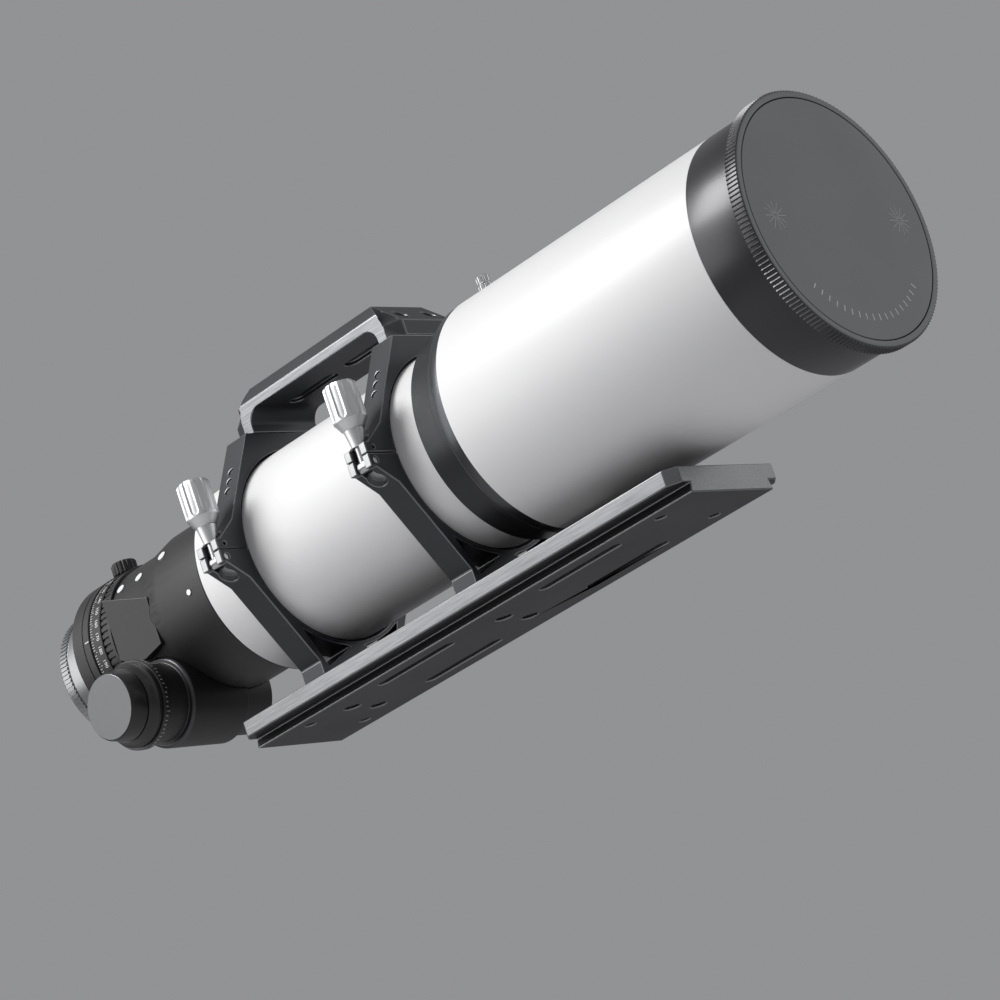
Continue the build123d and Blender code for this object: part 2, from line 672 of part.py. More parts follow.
# ---------------------------------------------------------------- carry handle
handle_front_x = RING_FACES["front"]
handle_rear_x = RING_FACES["rear"] - RING_THICK
handle_base_z = RING_TOP
handle_top_z = RING_TOP + HANDLE_RISE
handle_screw_spots = [
    (x, side * HANDLE_SCREW_Y)
    for x in (RING_MIDDLES[0] + 1, RING_MIDDLES[1] - 1)
    for side in (-1, 1)
]


def handle_outline(inset, shoulder_run, top_rise):
    """The handle's side outline without its grip opening, drawn in from the ring faces."""
    rear = handle_rear_x + inset
    front = handle_front_x - inset
    return [
        (rear, handle_base_z),
        (rear, handle_base_z + HANDLE_END_RISE),
        (rear + shoulder_run, handle_base_z + top_rise),
        (front - shoulder_run, handle_base_z + top_rise),
        (front, handle_base_z + HANDLE_END_RISE),
        (front, handle_base_z),
    ]


core_half = HANDLE_HALF_WIDTH - HANDLE_SIDE_INSET
core_outline = handle_outline(0, HANDLE_SLOPE, HANDLE_RISE)
side_outline = handle_outline(HANDLE_END_INSET, 2.0, HANDLE_SIDE_RISE)

with BuildPart() as handle:
    extrude(outline_face(side_plane, core_outline), amount=core_half, both=True)
    for side in (-1, 1):
        edge_face = outline_face(side_plane.offset(side * core_half), core_outline)
        outer_face = outline_face(side_plane.offset(side * HANDLE_HALF_WIDTH), side_outline)
        loft([edge_face, outer_face], ruled=True)
    with BuildSketch(side_plane) as grip:
        with Locations(((handle_front_x + handle_rear_x) / 2, handle_base_z)):
            Rectangle(RING_SPACING - RING_THICK, 2 * HANDLE_GAP_RISE)
        fillet(grip.vertices(), HANDLE_GRIP_RADIUS)
    extrude(grip.sketch, amount=HANDLE_HALF_WIDTH, both=True, mode=Mode.SUBTRACT)
    base = Plane.XY.offset(AXIS_HEIGHT + handle_base_z)
    with BuildSketch(base.offset(HANDLE_FLOOR)) as counterbores:
        with Locations(handle_screw_spots):
            Circle(HANDLE_HEAD_R + HOLE_GAP)
    extrude(counterbores.sketch, amount=HANDLE_RISE, mode=Mode.SUBTRACT)
    with BuildSketch(base) as screw_holes:
        with Locations(handle_screw_spots):
            Circle(HANDLE_SCREW_R + HOLE_GAP)
    extrude(screw_holes.sketch, amount=HANDLE_FLOOR, mode=Mode.SUBTRACT)
    handle_middle_x = (handle_front_x + handle_rear_x) / 2
    with BuildSketch(Plane.XY.offset(AXIS_HEIGHT + handle_top_z)) as accessory_holes:
        with Locations((handle_middle_x, 0)):
            with GridLocations(HANDLE_HOLE_SPAN_X, HANDLE_HOLE_SPAN_Y, 2, 2):
                Circle(HANDLE_HOLE_R)
    extrude(accessory_holes.sketch, amount=-HANDLE_HOLE_DEPTH, mode=Mode.SUBTRACT)
    with BuildSketch(base.offset(HANDLE_GAP_RISE)) as pockets:
        with Locations((handle_middle_x, 0)):
            with GridLocations(56.0, 1.0, 2, 1):
                SlotOverall(44.0, 11.0)
    extrude(pockets.sketch, amount=3.0, mode=Mode.SUBTRACT)
finish(handle, "carry_handle")

with BuildPart() as handle_screws:
    for x, y in handle_screw_spots:
        seat = Plane(origin=(x, y, AXIS_HEIGHT + handle_base_z + HANDLE_FLOOR))
        shank = HANDLE_FLOOR + HANDLE_SCREW_GRIP
        socket_head(seat, HANDLE_HEAD_R, HANDLE_HEAD_HEIGHT, HANDLE_SCREW_R, shank)
finish(handle_screws, "handle_screws")

# ---------------------------------------------------------------- main tube and objective
tube_bore_r = TUBE_R - TUBE_WALL

with BuildPart() as main_tube:
    tube(TUBE_REAR_X, TUBE_FRONT_X, tube_bore_r, TUBE_R)
finish(main_tube, "main_tube")

with BuildPart() as collar:
    turned(
        [
            (COLLAR_REAR_X, TUBE_R + PRESS_GAP),
            (COLLAR_REAR_X, COLLAR_REAR_R),
            (COLLAR_STEP_X, COLLAR_REAR_R),
            (COLLAR_STEP_X, COLLAR_R),
            (COLLAR_FRONT_X, COLLAR_R),
            (COLLAR_FRONT_X, TUBE_R + PRESS_GAP),
        ]
    )
finish(collar, "shield_collar")

with BuildPart() as baffles:
    for x, opening in BAFFLES:
        tube(x, x + BAFFLE_THICK, opening, tube_bore_r - PRESS_GAP)
finish(baffles, "tube_baffles")

cell_outer_r = tube_bore_r - FACE_GAP
cell_front_x = TUBE_FRONT_X + CELL_FLANGE_LENGTH
cell_floor_x = CELL_REAR_X + CELL_LIP
with BuildPart() as cell:
    turned(
        [
            (CELL_REAR_X, CELL_BORE_R - CELL_LIP_DEPTH),
            (CELL_REAR_X, cell_outer_r),
            (TUBE_FRONT_X + PRESS_GAP, cell_outer_r),
            (TUBE_FRONT_X + PRESS_GAP, TUBE_R + CELL_FLANGE_STEP),
            (cell_front_x, TUBE_R + CELL_FLANGE_STEP),
            (cell_front_x, CELL_BORE_R),
            (cell_floor_x, CELL_BORE_R),
            (cell_floor_x, CELL_BORE_R - CELL_LIP_DEPTH),
        ]
    )
finish(cell, "objective_cell")

# rim planes and sags of the three front elements, rear element first
front_elements = (
    ("objective_lens_rear", 0.2, 9.0, 2.0, -4.0),
    ("objective_lens_middle", 13.0, 19.0, -3.0, -2.5),
    ("objective_lens_front", 25.0, 35.0, -1.5, 6.0),
)
for name, rear, front, sag_rear, sag_front in front_elements:
    with BuildPart() as element:
        lens(cell_floor_x + rear, cell_floor_x + front, sag_rear, sag_front, LENS_R)
    finish(element, name)

with BuildPart() as spacers:
    for rear_element, front_element in zip(front_elements, front_elements[1:]):
        spacer_rear = cell_floor_x + rear_element[2] + PRESS_GAP
        spacer_front = cell_floor_x + front_element[1] - PRESS_GAP
        tube(spacer_rear, spacer_front, LENS_R - LENS_LAND + 1.0, LENS_R)
finish(spacers, "lens_spacers")

with BuildPart() as objective_ring:
    ring_rear = cell_floor_x + front_elements[-1][2] + FACE_GAP
    tube(ring_rear, ring_rear + RETAINING_LENGTH, LENS_R - LENS_LAND, CELL_BORE_R - PRESS_GAP)
finish(objective_ring, "objective_retaining_ring")

# ---------------------------------------------------------------- sliding dew shield
with BuildPart() as shield:
    tube(SHIELD_REAR_X, SHIELD_FRONT_X, SHIELD_BORE_R, SHIELD_R)
finish(shield, "dew_shield")

with BuildPart() as band:
    tube(SHIELD_FRONT_X, BAND_FRONT_X, BAND_BORE_R, SHIELD_R)
    tube(SHIELD_FRONT_X - BAND_SPIGOT, SHIELD_FRONT_X, BAND_BORE_R, SHIELD_BORE_R - PRESS_GAP)
finish(band, "dew_shield_front_band")

rear_ring_x = SHIELD_REAR_X - REAR_RING_LENGTH
rear_ring_r = SHIELD_R - REAR_RING_INSET
lock_x = SHIELD_REAR_X - REAR_RING_LENGTH / 2
collar_clear_r = COLLAR_R + SLIDE_GAP
lock_base = radial_plane(lock_x, 90, collar_clear_r)
with BuildPart() as rear_ring:
    tube(rear_ring_x, SHIELD_REAR_X, collar_clear_r, rear_ring_r)
    tube(SHIELD_REAR_X, SHIELD_REAR_X + BAND_SPIGOT, collar_clear_r, SHIELD_BORE_R - PRESS_GAP)
    rod(lock_base.offset(-1), LOCK_SHANK_R + RUNNING_GAP, SHIELD_STEP, Mode.SUBTRACT)
finish(rear_ring, "dew_shield_rear_ring")

with BuildPart() as shield_felt:
    felt_x = SHIELD_REAR_X + BAND_SPIGOT + 1.0
    tube(felt_x, felt_x + SHIELD_FELT_LENGTH, collar_clear_r, SHIELD_BORE_R - PRESS_GAP)
finish(shield_felt, "dew_shield_felt")

with BuildPart() as shield_lock:
    neck_base = radial_plane(lock_x, 90, rear_ring_r + FACE_GAP)
    rod(lock_base, LOCK_SHANK_R, rear_ring_r - collar_clear_r + LOCK_NECK_LENGTH)
    rod(neck_base, LOCK_NECK_R, LOCK_NECK_LENGTH)
    rod(neck_base.offset(LOCK_NECK_LENGTH), LOCK_HEAD_R, LOCK_HEAD_LENGTH)
    chamfer(shield_lock.edges().group_by(Axis.Z)[-1], 0.8)
finish(shield_lock, "dew_shield_lock_screw")

# ---------------------------------------------------------------- front cap
web_front_x = CAP_SEAT_X + CAP_WEB
with BuildPart() as cap_ring:
    turned(
        [
            (CAP_SEAT_X, CAP_WEB_R),
            (web_front_x, CAP_WEB_R),
            (web_front_x, COVER_R + SLIDE_GAP),
            (CAP_FRONT_X, COVER_R + SLIDE_GAP),
            (CAP_FRONT_X, CAP_RIM_R),
            (CAP_SEAT_X, CAP_RIM_R),
            (CAP_SEAT_X, CAP_SKIRT_R),
            (CAP_SEAT_X - CAP_SKIRT_LENGTH, CAP_SKIRT_R),
            (CAP_SEAT_X - CAP_SKIRT_LENGTH, CAP_SKIRT_BORE_R),
            (CAP_SEAT_X, CAP_SKIRT_BORE_R),
        ]
    )
finish(cap_ring, "cap_ring")

with BuildPart() as cover:
    tube(web_front_x + FACE_GAP, CAP_FRONT_X, 0, COVER_R)
    tube(web_front_x - COVER_PLUG, web_front_x + FACE_GAP, 0, CAP_WEB_R - SLIDE_GAP)
    chamfer(cover.faces().sort_by(Axis.X)[-1].edges(), 0.6)
finish(cover, "cap_cover_disc")

# The mask's slots: level ones on the +Y half, and two sets tilted apart on the -Y half.
mask_rows = range(-8, 9)
with BuildPart() as mask:
    with BuildSketch(cross_plane(CAP_SEAT_X - FACE_GAP - MASK_THICK)):
        Circle(CAP_SKIRT_BORE_R - RUNNING_GAP)
    extrude(amount=MASK_THICK)
    for half, tilt in (("level", 0.0), ("up", MASK_TILT), ("down", -MASK_TILT)):
        with BuildSketch(cross_plane(CAP_SEAT_X - FACE_GAP - MASK_THICK)) as slots:
            for row in mask_rows:
                with Locations(Location((0, row * MASK_PITCH, 0), tilt)):
                    Rectangle(4 * MASK_CLEAR, MASK_SLOT)
            Circle(MASK_CLEAR, mode=Mode.INTERSECT)
            if half == "level":
                with Locations((MASK_SPINE / 2, 0)):
                    Rectangle(
                        MASK_CLEAR,
                        2 * MASK_CLEAR,
                        align=(Align.MIN, Align.CENTER),
                        mode=Mode.INTERSECT,
                    )
            else:
                side = 1 if half == "up" else -1
                with Locations((-MASK_SPINE / 2, side * MASK_SPINE / 2)):
                    Rectangle(
                        MASK_CLEAR,
                        MASK_CLEAR,
                        align=(Align.MAX, Align.MIN if side > 0 else Align.MAX),
                        mode=Mode.INTERSECT,
                    )
        extrude(slots.sketch, amount=MASK_THICK, mode=Mode.SUBTRACT)
finish(mask, "diffraction_mask")

# ---------------------------------------------------------------- focuser housing
with BuildPart() as end_ring:
    spigot_r = tube_bore_r - PRESS_GAP
    turned(
        [
            (HOUSING_FRONT_X, HOUSING_FRONT_R - CELL_LIP),
            (TUBE_REAR_X + END_RING_SPIGOT, HOUSING_FRONT_R - CELL_LIP),
            (TUBE_REAR_X + END_RING_SPIGOT, spigot_r),
            (TUBE_REAR_X, spigot_r),
            (TUBE_REAR_X, TUBE_R),
            (HOUSING_FRONT_X, TUBE_R - END_RING_BEVEL),
        ]
    )
finish(end_ring, "tube_end_ring")

housing_skin = [
    (HOUSING_REAR_X, HOUSING_REAR_R),
    (HOUSING_NECK_X, HOUSING_REAR_R),
    (HOUSING_CONE_X, HOUSING_FRONT_R),
    (HOUSING_FRONT_X, HOUSING_FRONT_R),
]
bulkhead_x = HOUSING_FRONT_X - BULKHEAD_THICK
spigot_front_x = HOUSING_FRONT_X + HOUSING_SPIGOT
bore_rear_x = HOUSING_REAR_X + HOUSING_END_WALL
housing_spigot_r = HOUSING_FRONT_R - CELL_LIP - PRESS_GAP
gear_pocket_half = GEAR_WIDTH / 2 + 1.0
gear_pocket_r = PITCH_R + GEAR_MODULE + 0.6

# each seat is a plane sunk in the skin, a head radius and a head height
housing_screw_seats = [
    (radial_plane(x, HOUSING_SCREW_ANGLE, r - SEAT_DEPTH), HOUSING_SCREW_R, HOUSING_SCREW_HEIGHT)
    for x, r in (
        (HOUSING_REAR_X + 7.0, HOUSING_REAR_R),
        (HOUSING_NECK_X - 3.0, HOUSING_REAR_R),
        (HOUSING_CONE_X + 4.0, HOUSING_FRONT_R),
    )
] + [
    (
        radial_plane(HOUSING_FRONT_X - 17.0, angle, HOUSING_FRONT_R - SEAT_DEPTH),
        HOUSING_PIN_R,
        HOUSING_SCREW_HEIGHT,
    )
    for angle in (60, 180, 300)
]


def cut_drive_hollows():
    """Cuts the gear pocket, the shaft hole and both bush seats out of the piece being built."""
    rod(shaft_plane(-gear_pocket_half), gear_pocket_r, 2 * gear_pocket_half, Mode.SUBTRACT)
    blind_end = BUSH_INSET - PINION_BOSS_BACK
    rod(shaft_plane(blind_end), SHAFT_R + SHAFT_CLEARANCE, 2 * PINION_BOSS_REACH, Mode.SUBTRACT)
    bush_length = BUSH_LENGTH + PRESS_GAP
    rod(shaft_plane(PINION_BOSS_REACH), BUSH_R + PRESS_GAP, -bush_length, Mode.SUBTRACT)
    rod(shaft_plane(blind_end), BUSH_R + PRESS_GAP, bush_length, Mode.SUBTRACT)


with BuildPart() as housing:
    turned([(HOUSING_REAR_X, 0)] + housing_skin + [(HOUSING_FRONT_X, 0)])
    tube(HOUSING_FRONT_X, spigot_front_x, 0, housing_spigot_r)
    tube(bore_rear_x, bulkhead_x, 0, HOUSING_BORE_R, Mode.SUBTRACT)
    tube(HOUSING_FRONT_X, spigot_front_x, 0, HOUSING_BORE_R, Mode.SUBTRACT)
    tube(HOUSING_REAR_X, HOUSING_FRONT_X, 0, BULKHEAD_R, Mode.SUBTRACT)
    with BuildSketch(cross_plane(HOUSING_REAR_X)) as rod_holes:
        with PolarLocations(ROD_CIRCLE_R, 2, start_angle=ROD_ANGLES[0], angular_range=120):
            Circle(ROD_R + PRESS_GAP)
    extrude(rod_holes.sketch, amount=HOUSING_FRONT_X - HOUSING_REAR_X, mode=Mode.SUBTRACT)
    cut_drive_hollows()
    for seat, radius, height in housing_screw_seats:
        rod(seat, radius + PRESS_GAP, height, Mode.SUBTRACT)
finish(housing, "focuser_housing")

# a saddle-shaped block under the housing that carries the pinion shaft
with BuildPart() as drive_block:
    knob_turned(
        [
            (-PINION_BOSS_BACK, 0),
            (-PINION_BOSS_BACK, PINION_BOSS_R),
            (0, PINION_BOSS_R),
            (0, BOSS_FLANGE_R),
            (BOSS_FLANGE_REACH - BOSS_EDGE, BOSS_FLANGE_R),
            (BOSS_FLANGE_REACH, BOSS_FLANGE_R - BOSS_EDGE),
            (BOSS_FLANGE_REACH, PINION_BOSS_R),
            (PINION_BOSS_REACH, PINION_BOSS_R),
            (PINION_BOSS_REACH, 0),
        ]
    )
    turned([(HOUSING_REAR_X, 0)] + housing_skin + [(HOUSING_FRONT_X, 0)], Mode.SUBTRACT)
    # everything behind the rear face makes room for the rotator
    tube(HOUSING_REAR_X - BOSS_FLANGE_R, HOUSING_REAR_X, 0, 2 * HOUSING_REAR_R, Mode.SUBTRACT)
    cut_drive_hollows()
finish(drive_block, "focus_drive_block")

with BuildPart() as bushes:
    for start in (PINION_BOSS_REACH - BUSH_LENGTH, BUSH_INSET - PINION_BOSS_BACK):
        rod(shaft_plane(start), BUSH_R, BUSH_LENGTH)
        rod(shaft_plane(start), SHAFT_R + RUNNING_GAP, BUSH_LENGTH, Mode.SUBTRACT)
finish(bushes, "pinion_bushes")

# a flat raised cover on the -Y side, above the pinion boss, that dies into the cone
with BuildPart() as panel:
    panel_outline = [
        (HOUSING_REAR_X + 0.6, -14.0),
        (HOUSING_REAR_X + 0.6, 30.0),
        (HOUSING_NECK_X + 13.0, 14.5),
        (HOUSING_NECK_X + 13.0, -19.0),
        (HOUSING_NECK_X - 8.0, -23.0),
    ]
    panel_plane = Plane(origin=(0, PANEL_Y, AXIS_HEIGHT), x_dir=(1, 0, 0), z_dir=(0, -1, 0))
    extrude(outline_face(panel_plane, panel_outline), amount=-PANEL_THICK)
    rod(shaft_plane(0), BOSS_FLANGE_R + FACE_GAP, 2 * BOSS_FLANGE_REACH, Mode.SUBTRACT)
    turned([(HOUSING_REAR_X, 0)] + housing_skin + [(HOUSING_FRONT_X, 0)], Mode.SUBTRACT)
finish(panel, "housing_side_panel")

with BuildPart() as housing_screws:
    for seat, radius, height in housing_screw_seats:
        rod(seat, radius, height)
finish(housing_screws, "housing_screws")

with BuildPart() as guide_rods:
    with BuildSketch(cross_plane(HOUSING_REAR_X + FACE_GAP)):
        with PolarLocations(ROD_CIRCLE_R, 2, start_angle=ROD_ANGLES[0], angular_range=120):
            Circle(ROD_R)
    extrude(amount=HOUSING_FRONT_X - HOUSING_REAR_X - 2 * FACE_GAP)
finish(guide_rods, "focus_guide_rods")

# ---------------------------------------------------------------- focus carriage
rack_half = CARRIAGE_TRAVEL + RACK_SPARE
rack_pitch = math.pi * GEAR_MODULE
rack_root_z = -PINION_DROP + PITCH_R + 1.25 * GEAR_MODULE
rack_seat_z = -CARRIAGE_R + 0.7

with BuildPart() as carriage:
    tube(CARRIAGE_REAR_X, CARRIAGE_FRONT_X, 0, CARRIAGE_R)
    with BuildSketch(cross_plane(CARRIAGE_REAR_X + 10.0)) as lugs:
        with PolarLocations(ROD_CIRCLE_R, 2, start_angle=ROD_ANGLES[0], angular_range=120):
            Circle(ROD_LUG_R)
    extrude(lugs.sketch, amount=CARRIAGE_FRONT_X - CARRIAGE_REAR_X - 20.0)
    with BuildSketch(cross_plane(CARRIAGE_REAR_X)) as slides:
        with PolarLocations(ROD_CIRCLE_R, 2, start_angle=ROD_ANGLES[0], angular_range=120):
            Circle(ROD_R + RUNNING_GAP)
    extrude(slides.sketch, amount=CARRIAGE_FRONT_X - CARRIAGE_REAR_X, mode=Mode.SUBTRACT)
    tube(CARRIAGE_REAR_X, CARRIAGE_FRONT_X, 0, CARRIAGE_R - CARRIAGE_WALL, Mode.SUBTRACT)
    with Locations((PINION_X, 0, AXIS_HEIGHT + rack_seat_z)):
        Box(
            3 * rack_half,
            GEAR_WIDTH + 2 * HOLE_GAP,
            CARRIAGE_WALL,
            align=(Align.CENTER, Align.CENTER, Align.MAX),
            mode=Mode.SUBTRACT,
        )
finish(carriage, "focus_carriage")

pitch_line_z = -PINION_DROP + PITCH_R
tooth_half = (rack_pitch - GEAR_BACKLASH) / 4
flank = math.tan(math.radians(PRESSURE_ANGLE))
tip_half = tooth_half - GEAR_MODULE * flank
root_half = tooth_half + 1.25 * GEAR_MODULE * flank
rack_count = int(rack_half / rack_pitch)
with BuildPart() as rack:
    rack_height = rack_seat_z - PRESS_GAP - rack_root_z
    with BuildSketch(Plane(origin=(0, GEAR_WIDTH / 2, AXIS_HEIGHT), x_dir=(1, 0, 0), z_dir=(0, -1, 0))):
        with Locations((PINION_X, rack_root_z)):
            Rectangle(2 * rack_half, rack_height, align=(Align.CENTER, Align.MIN))
        for index in range(-rack_count, rack_count):
            centre = PINION_X + (index + 0.5) * rack_pitch
            with BuildLine():
                Polyline(
                    (centre - root_half, rack_root_z),
                    (centre - tip_half, pitch_line_z - GEAR_MODULE),
                    (centre + tip_half, pitch_line_z - GEAR_MODULE),
                    (centre + root_half, rack_root_z),
                    close=True,
                )
            make_face()
    extrude(amount=GEAR_WIDTH)
finish(rack, "focus_rack")

corrector_r = CARRIAGE_R - CARRIAGE_WALL - PRESS_GAP
corrector_x = CARRIAGE_FRONT_X - 20.0
# rim planes and sags of the two rear elements, rear element first
rear_elements = (
    ("corrector_lens_rear", -24.0, -15.0, -2.5, -2.0),
    ("corrector_lens_front", -7.0, 0.0, 1.5, 3.5),
)
for name, rear, front, sag_rear, sag_front in rear_elements:
    with BuildPart() as element:
        lens(corrector_x + rear, corrector_x + front, sag_rear, sag_front, corrector_r)
    finish(element, name)

# one ring between the two elements and one locking each outer face
ring_spans = (
    (rear_elements[0][1] - CORRECTOR_RING, rear_elements[0][1] - PRESS_GAP),
    (rear_elements[0][2] + PRESS_GAP, rear_elements[1][1] - PRESS_GAP),
    (rear_elements[1][2] + PRESS_GAP, rear_elements[1][2] + CORRECTOR_RING),
)
with BuildPart() as corrector_rings:
    for rear, front in ring_spans:
        tube(corrector_x + rear, corrector_x + front, corrector_r - LENS_LAND + 0.2, corrector_r)
finish(corrector_rings, "corrector_rings")

# ---------------------------------------------------------------- pinion and focus knobs
coarse_reach = DIAL_REACH + DIAL_LENGTH
coarse_end = coarse_reach + COARSE_RIM_LENGTH + COARSE_CONE_LENGTH
fine_reach = coarse_end + SLIDE_GAP
fine_end = fine_reach + FINE_KNOB_LENGTH
shaft_end = coarse_end - 6.0


def involute_angle(pressure):
    """The involute function of a pressure angle in radians."""
    return math.tan(pressure) - pressure


def tooth_outline(index):
    """One pinion tooth, from the root on one side to the root on the other."""
    base_r = PITCH_R * math.cos(math.radians(PRESSURE_ANGLE))
    tip_r = PITCH_R + GEAR_MODULE
    root_r = PITCH_R - 1.25 * GEAR_MODULE
    half_angle = (rack_pitch - GEAR_BACKLASH) / (4 * PITCH_R)
    middle = math.radians(90) + index * 2 * math.pi / GEAR_TEETH
    flank_points = []
    for step in range(4):
        radius = base_r + (tip_r - base_r) * step / 3
        pressure = math.acos(base_r / radius)
        spread = half_angle + involute_angle(math.radians(PRESSURE_ANGLE)) - involute_angle(pressure)
        flank_points.append((radius, spread))
    flank_points.insert(0, (root_r, flank_points[0][1]))
    rising = [(r * math.cos(middle + a), r * math.sin(middle + a)) for r, a in flank_points]
    falling = [(r * math.cos(middle - a), r * math.sin(middle - a)) for r, a in flank_points]
    return falling + rising[::-1]


with BuildPart() as pinion:
    gear_outline = []
    for index in range(GEAR_TEETH):
        gear_outline += tooth_outline(index)
    extrude(outline_face(shaft_plane(-GEAR_WIDTH / 2), gear_outline), amount=GEAR_WIDTH)
    shaft_start = BUSH_INSET - PINION_BOSS_BACK + FACE_GAP
    rod(shaft_plane(shaft_start), SHAFT_R, shaft_end - shaft_start)
    rod(shaft_plane(shaft_end), FINE_SHAFT_R + RUNNING_GAP, -FINE_SHAFT_LENGTH, Mode.SUBTRACT)
finish(pinion, "pinion_shaft")

with BuildPart() as dial:
    knob_turned(
        [
            (DIAL_REACH, SHAFT_R + PRESS_GAP),
            (DIAL_REACH, DIAL_R - 1.0),
            (DIAL_REACH + 1.0, DIAL_R),
            (coarse_reach - PRESS_GAP, DIAL_R),
            (coarse_reach - PRESS_GAP, SHAFT_R + PRESS_GAP),
        ]
    )
finish(dial, "focus_dial")

with BuildPart() as coarse_knob:
    knob_turned(
        [
            (coarse_reach, SHAFT_R + PRESS_GAP),
            (coarse_reach, COARSE_KNOB_R),
            (coarse_reach + COARSE_RIM_LENGTH, COARSE_KNOB_R),
            (coarse_end, COARSE_NOSE_R),
            (coarse_end, SHAFT_R + PRESS_GAP),
        ]
    )
finish(coarse_knob, "coarse_focus_knob")

with BuildPart() as fine_knob:
    knob_turned(
        [
            (fine_reach, FINE_SHAFT_R + PRESS_GAP),
            (fine_reach, FINE_KNOB_R + 1.2),
            (fine_end - 0.8, FINE_KNOB_R),
            (fine_end, FINE_KNOB_R - 0.6),
            (fine_end, FINE_SHAFT_R + PRESS_GAP),
        ]
    )
finish(fine_knob, "fine_focus_knob")

with BuildPart() as fine_shaft:
    start = shaft_end - FINE_SHAFT_LENGTH + 2.0
    rod(shaft_plane(start), FINE_SHAFT_R, fine_end - start)
finish(fine_shaft, "fine_drive_shaft")

with BuildPart() as face_disc:
    rod(shaft_plane(fine_end + PRESS_GAP), FACE_DISC_R, FACE_DISC_THICK)
finish(face_disc, "knob_face_disc")

# ---------------------------------------------------------------- rotator and visual back
with BuildPart() as rotator_base:
    base_front_x = HOUSING_REAR_X - PRESS_GAP
    turned(
        [
            (base_front_x, ROTATOR_BASE_BORE_R),
            (base_front_x, ROTATOR_BASE_R),
            (BASE_REAR_X, ROTATOR_BASE_R),
            (BASE_REAR_X, SPIGOT_R),
            (SPIGOT_REAR_X, SPIGOT_R),
            (SPIGOT_REAR_X, ROTATOR_BASE_BORE_R),
        ]
    )
    with BuildSketch(cross_plane(BASE_REAR_X)) as notches:
        with PolarLocations(ROTATOR_BASE_R, ROTATOR_NOTCHES):
            Rectangle(2 * ROTATOR_NOTCH_DEPTH, ROTATOR_NOTCH_WIDTH)
    extrude(notches.sketch, amount=ROTATOR_BASE_LENGTH - ROTATOR_NOTCH_END, mode=Mode.SUBTRACT)
finish(rotator_base, "rotator_base")

with BuildPart() as scale_ring:
    tube(SCALE_REAR_X, BASE_REAR_X - FACE_GAP, SPIGOT_R + PRESS_GAP, SCALE_R)
finish(scale_ring, "rotator_scale_ring")

retainer_r = SPIGOT_R + RETAINER_STEP
with BuildPart() as retainer:
    retainer_front_x = SPIGOT_REAR_X - PRESS_GAP
    tube(retainer_front_x - RETAINER_THICK, retainer_front_x, ROTATOR_BASE_BORE_R, retainer_r)
finish(retainer, "rotator_retainer")

rotator_wall_x = ROTATOR_REAR_X + ROTATOR_REAR_WALL
rotator_lock_x = ROTATOR_FRONT_X - ROTATOR_LOCK_X_INSET
with BuildPart() as rotator:
    turned(
        [
            (ROTATOR_FRONT_X, SPIGOT_R + SLIDE_GAP),
            (ROTATOR_FRONT_X, ROTATOR_R),
            (ROTATOR_REAR_X + ROTATOR_BEVEL, ROTATOR_R),
            (ROTATOR_REAR_X, ROTATOR_R - ROTATOR_BEVEL),
            (ROTATOR_REAR_X, ROTATOR_BORE_R),
            (rotator_wall_x, ROTATOR_BORE_R),
            (rotator_wall_x, retainer_r + SLIDE_GAP),
            (ROTATOR_FRONT_X - ROTATOR_LIP, retainer_r + SLIDE_GAP),
            (ROTATOR_FRONT_X - ROTATOR_LIP, SPIGOT_R + SLIDE_GAP),
        ]
    )
    lock_hole = radial_plane(rotator_lock_x, 90, SPIGOT_R)
    rod(lock_hole, LOCK_SHANK_R + RUNNING_GAP, ROTATOR_R, Mode.SUBTRACT)
finish(rotator, "rotator_body")

with BuildPart() as rotator_lock:
    shank_base = radial_plane(rotator_lock_x, 90, SPIGOT_R + SLIDE_GAP)
    head_base = radial_plane(rotator_lock_x, 90, ROTATOR_R + FACE_GAP)
    rod(shank_base, LOCK_SHANK_R, ROTATOR_R - SPIGOT_R + 2.0)
    rod(head_base, LOCK_NECK_R, 1.5)
    rod(head_base.offset(1.2), ROTATOR_LOCK_R, ROTATOR_LOCK_LENGTH)
    chamfer(rotator_lock.edges().group_by(Axis.Z)[-1], 1.0)
finish(rotator_lock, "rotator_lock_knob")

back_spigot_x = rotator_wall_x - FACE_GAP
thread_x = BACK_REAR_X + CAMERA_THREAD_LENGTH
back_screw_x = BACK_FRONT_X - BACK_SCREW_INSET
with BuildPart() as visual_back:
    turned(
        [
            (back_spigot_x, CAMERA_BORE_R),
            (back_spigot_x, ROTATOR_BORE_R - PRESS_GAP),
            (BACK_FRONT_X - PRESS_GAP, ROTATOR_BORE_R - PRESS_GAP),
            (BACK_FRONT_X - PRESS_GAP, BACK_R),
            (BACK_REAR_X + BACK_BEVEL, BACK_R),
            (BACK_REAR_X, BACK_R - BACK_BEVEL),
            (BACK_REAR_X, CAMERA_THREAD_R),
            (thread_x, CAMERA_THREAD_R),
            (thread_x, CAMERA_BORE_R),
        ]
    )
    for angle in BACK_SCREW_ANGLES.values():
        screw_hole = radial_plane(back_screw_x, angle, CAMERA_BORE_R - 2)
        rod(screw_hole, LOCK_SHANK_R + RUNNING_GAP, BACK_R, Mode.SUBTRACT)
finish(visual_back, "visual_back")

for side, angle in BACK_SCREW_ANGLES.items():
    with BuildPart() as back_screw:
        tip = radial_plane(back_screw_x, angle, CAMERA_BORE_R + FACE_GAP)
        neck = radial_plane(back_screw_x, angle, BACK_R + FACE_GAP)
        rod(tip, LOCK_SHANK_R, BACK_R - CAMERA_BORE_R + 1.0)
        rod(neck, LOCK_NECK_R, LOCK_NECK_LENGTH)
        rod(neck.offset(LOCK_NECK_LENGTH - 0.5), BACK_SCREW_HEAD_R, BACK_SCREW_HEAD_LENGTH)
    finish(back_screw, f"back_screw_{side}")
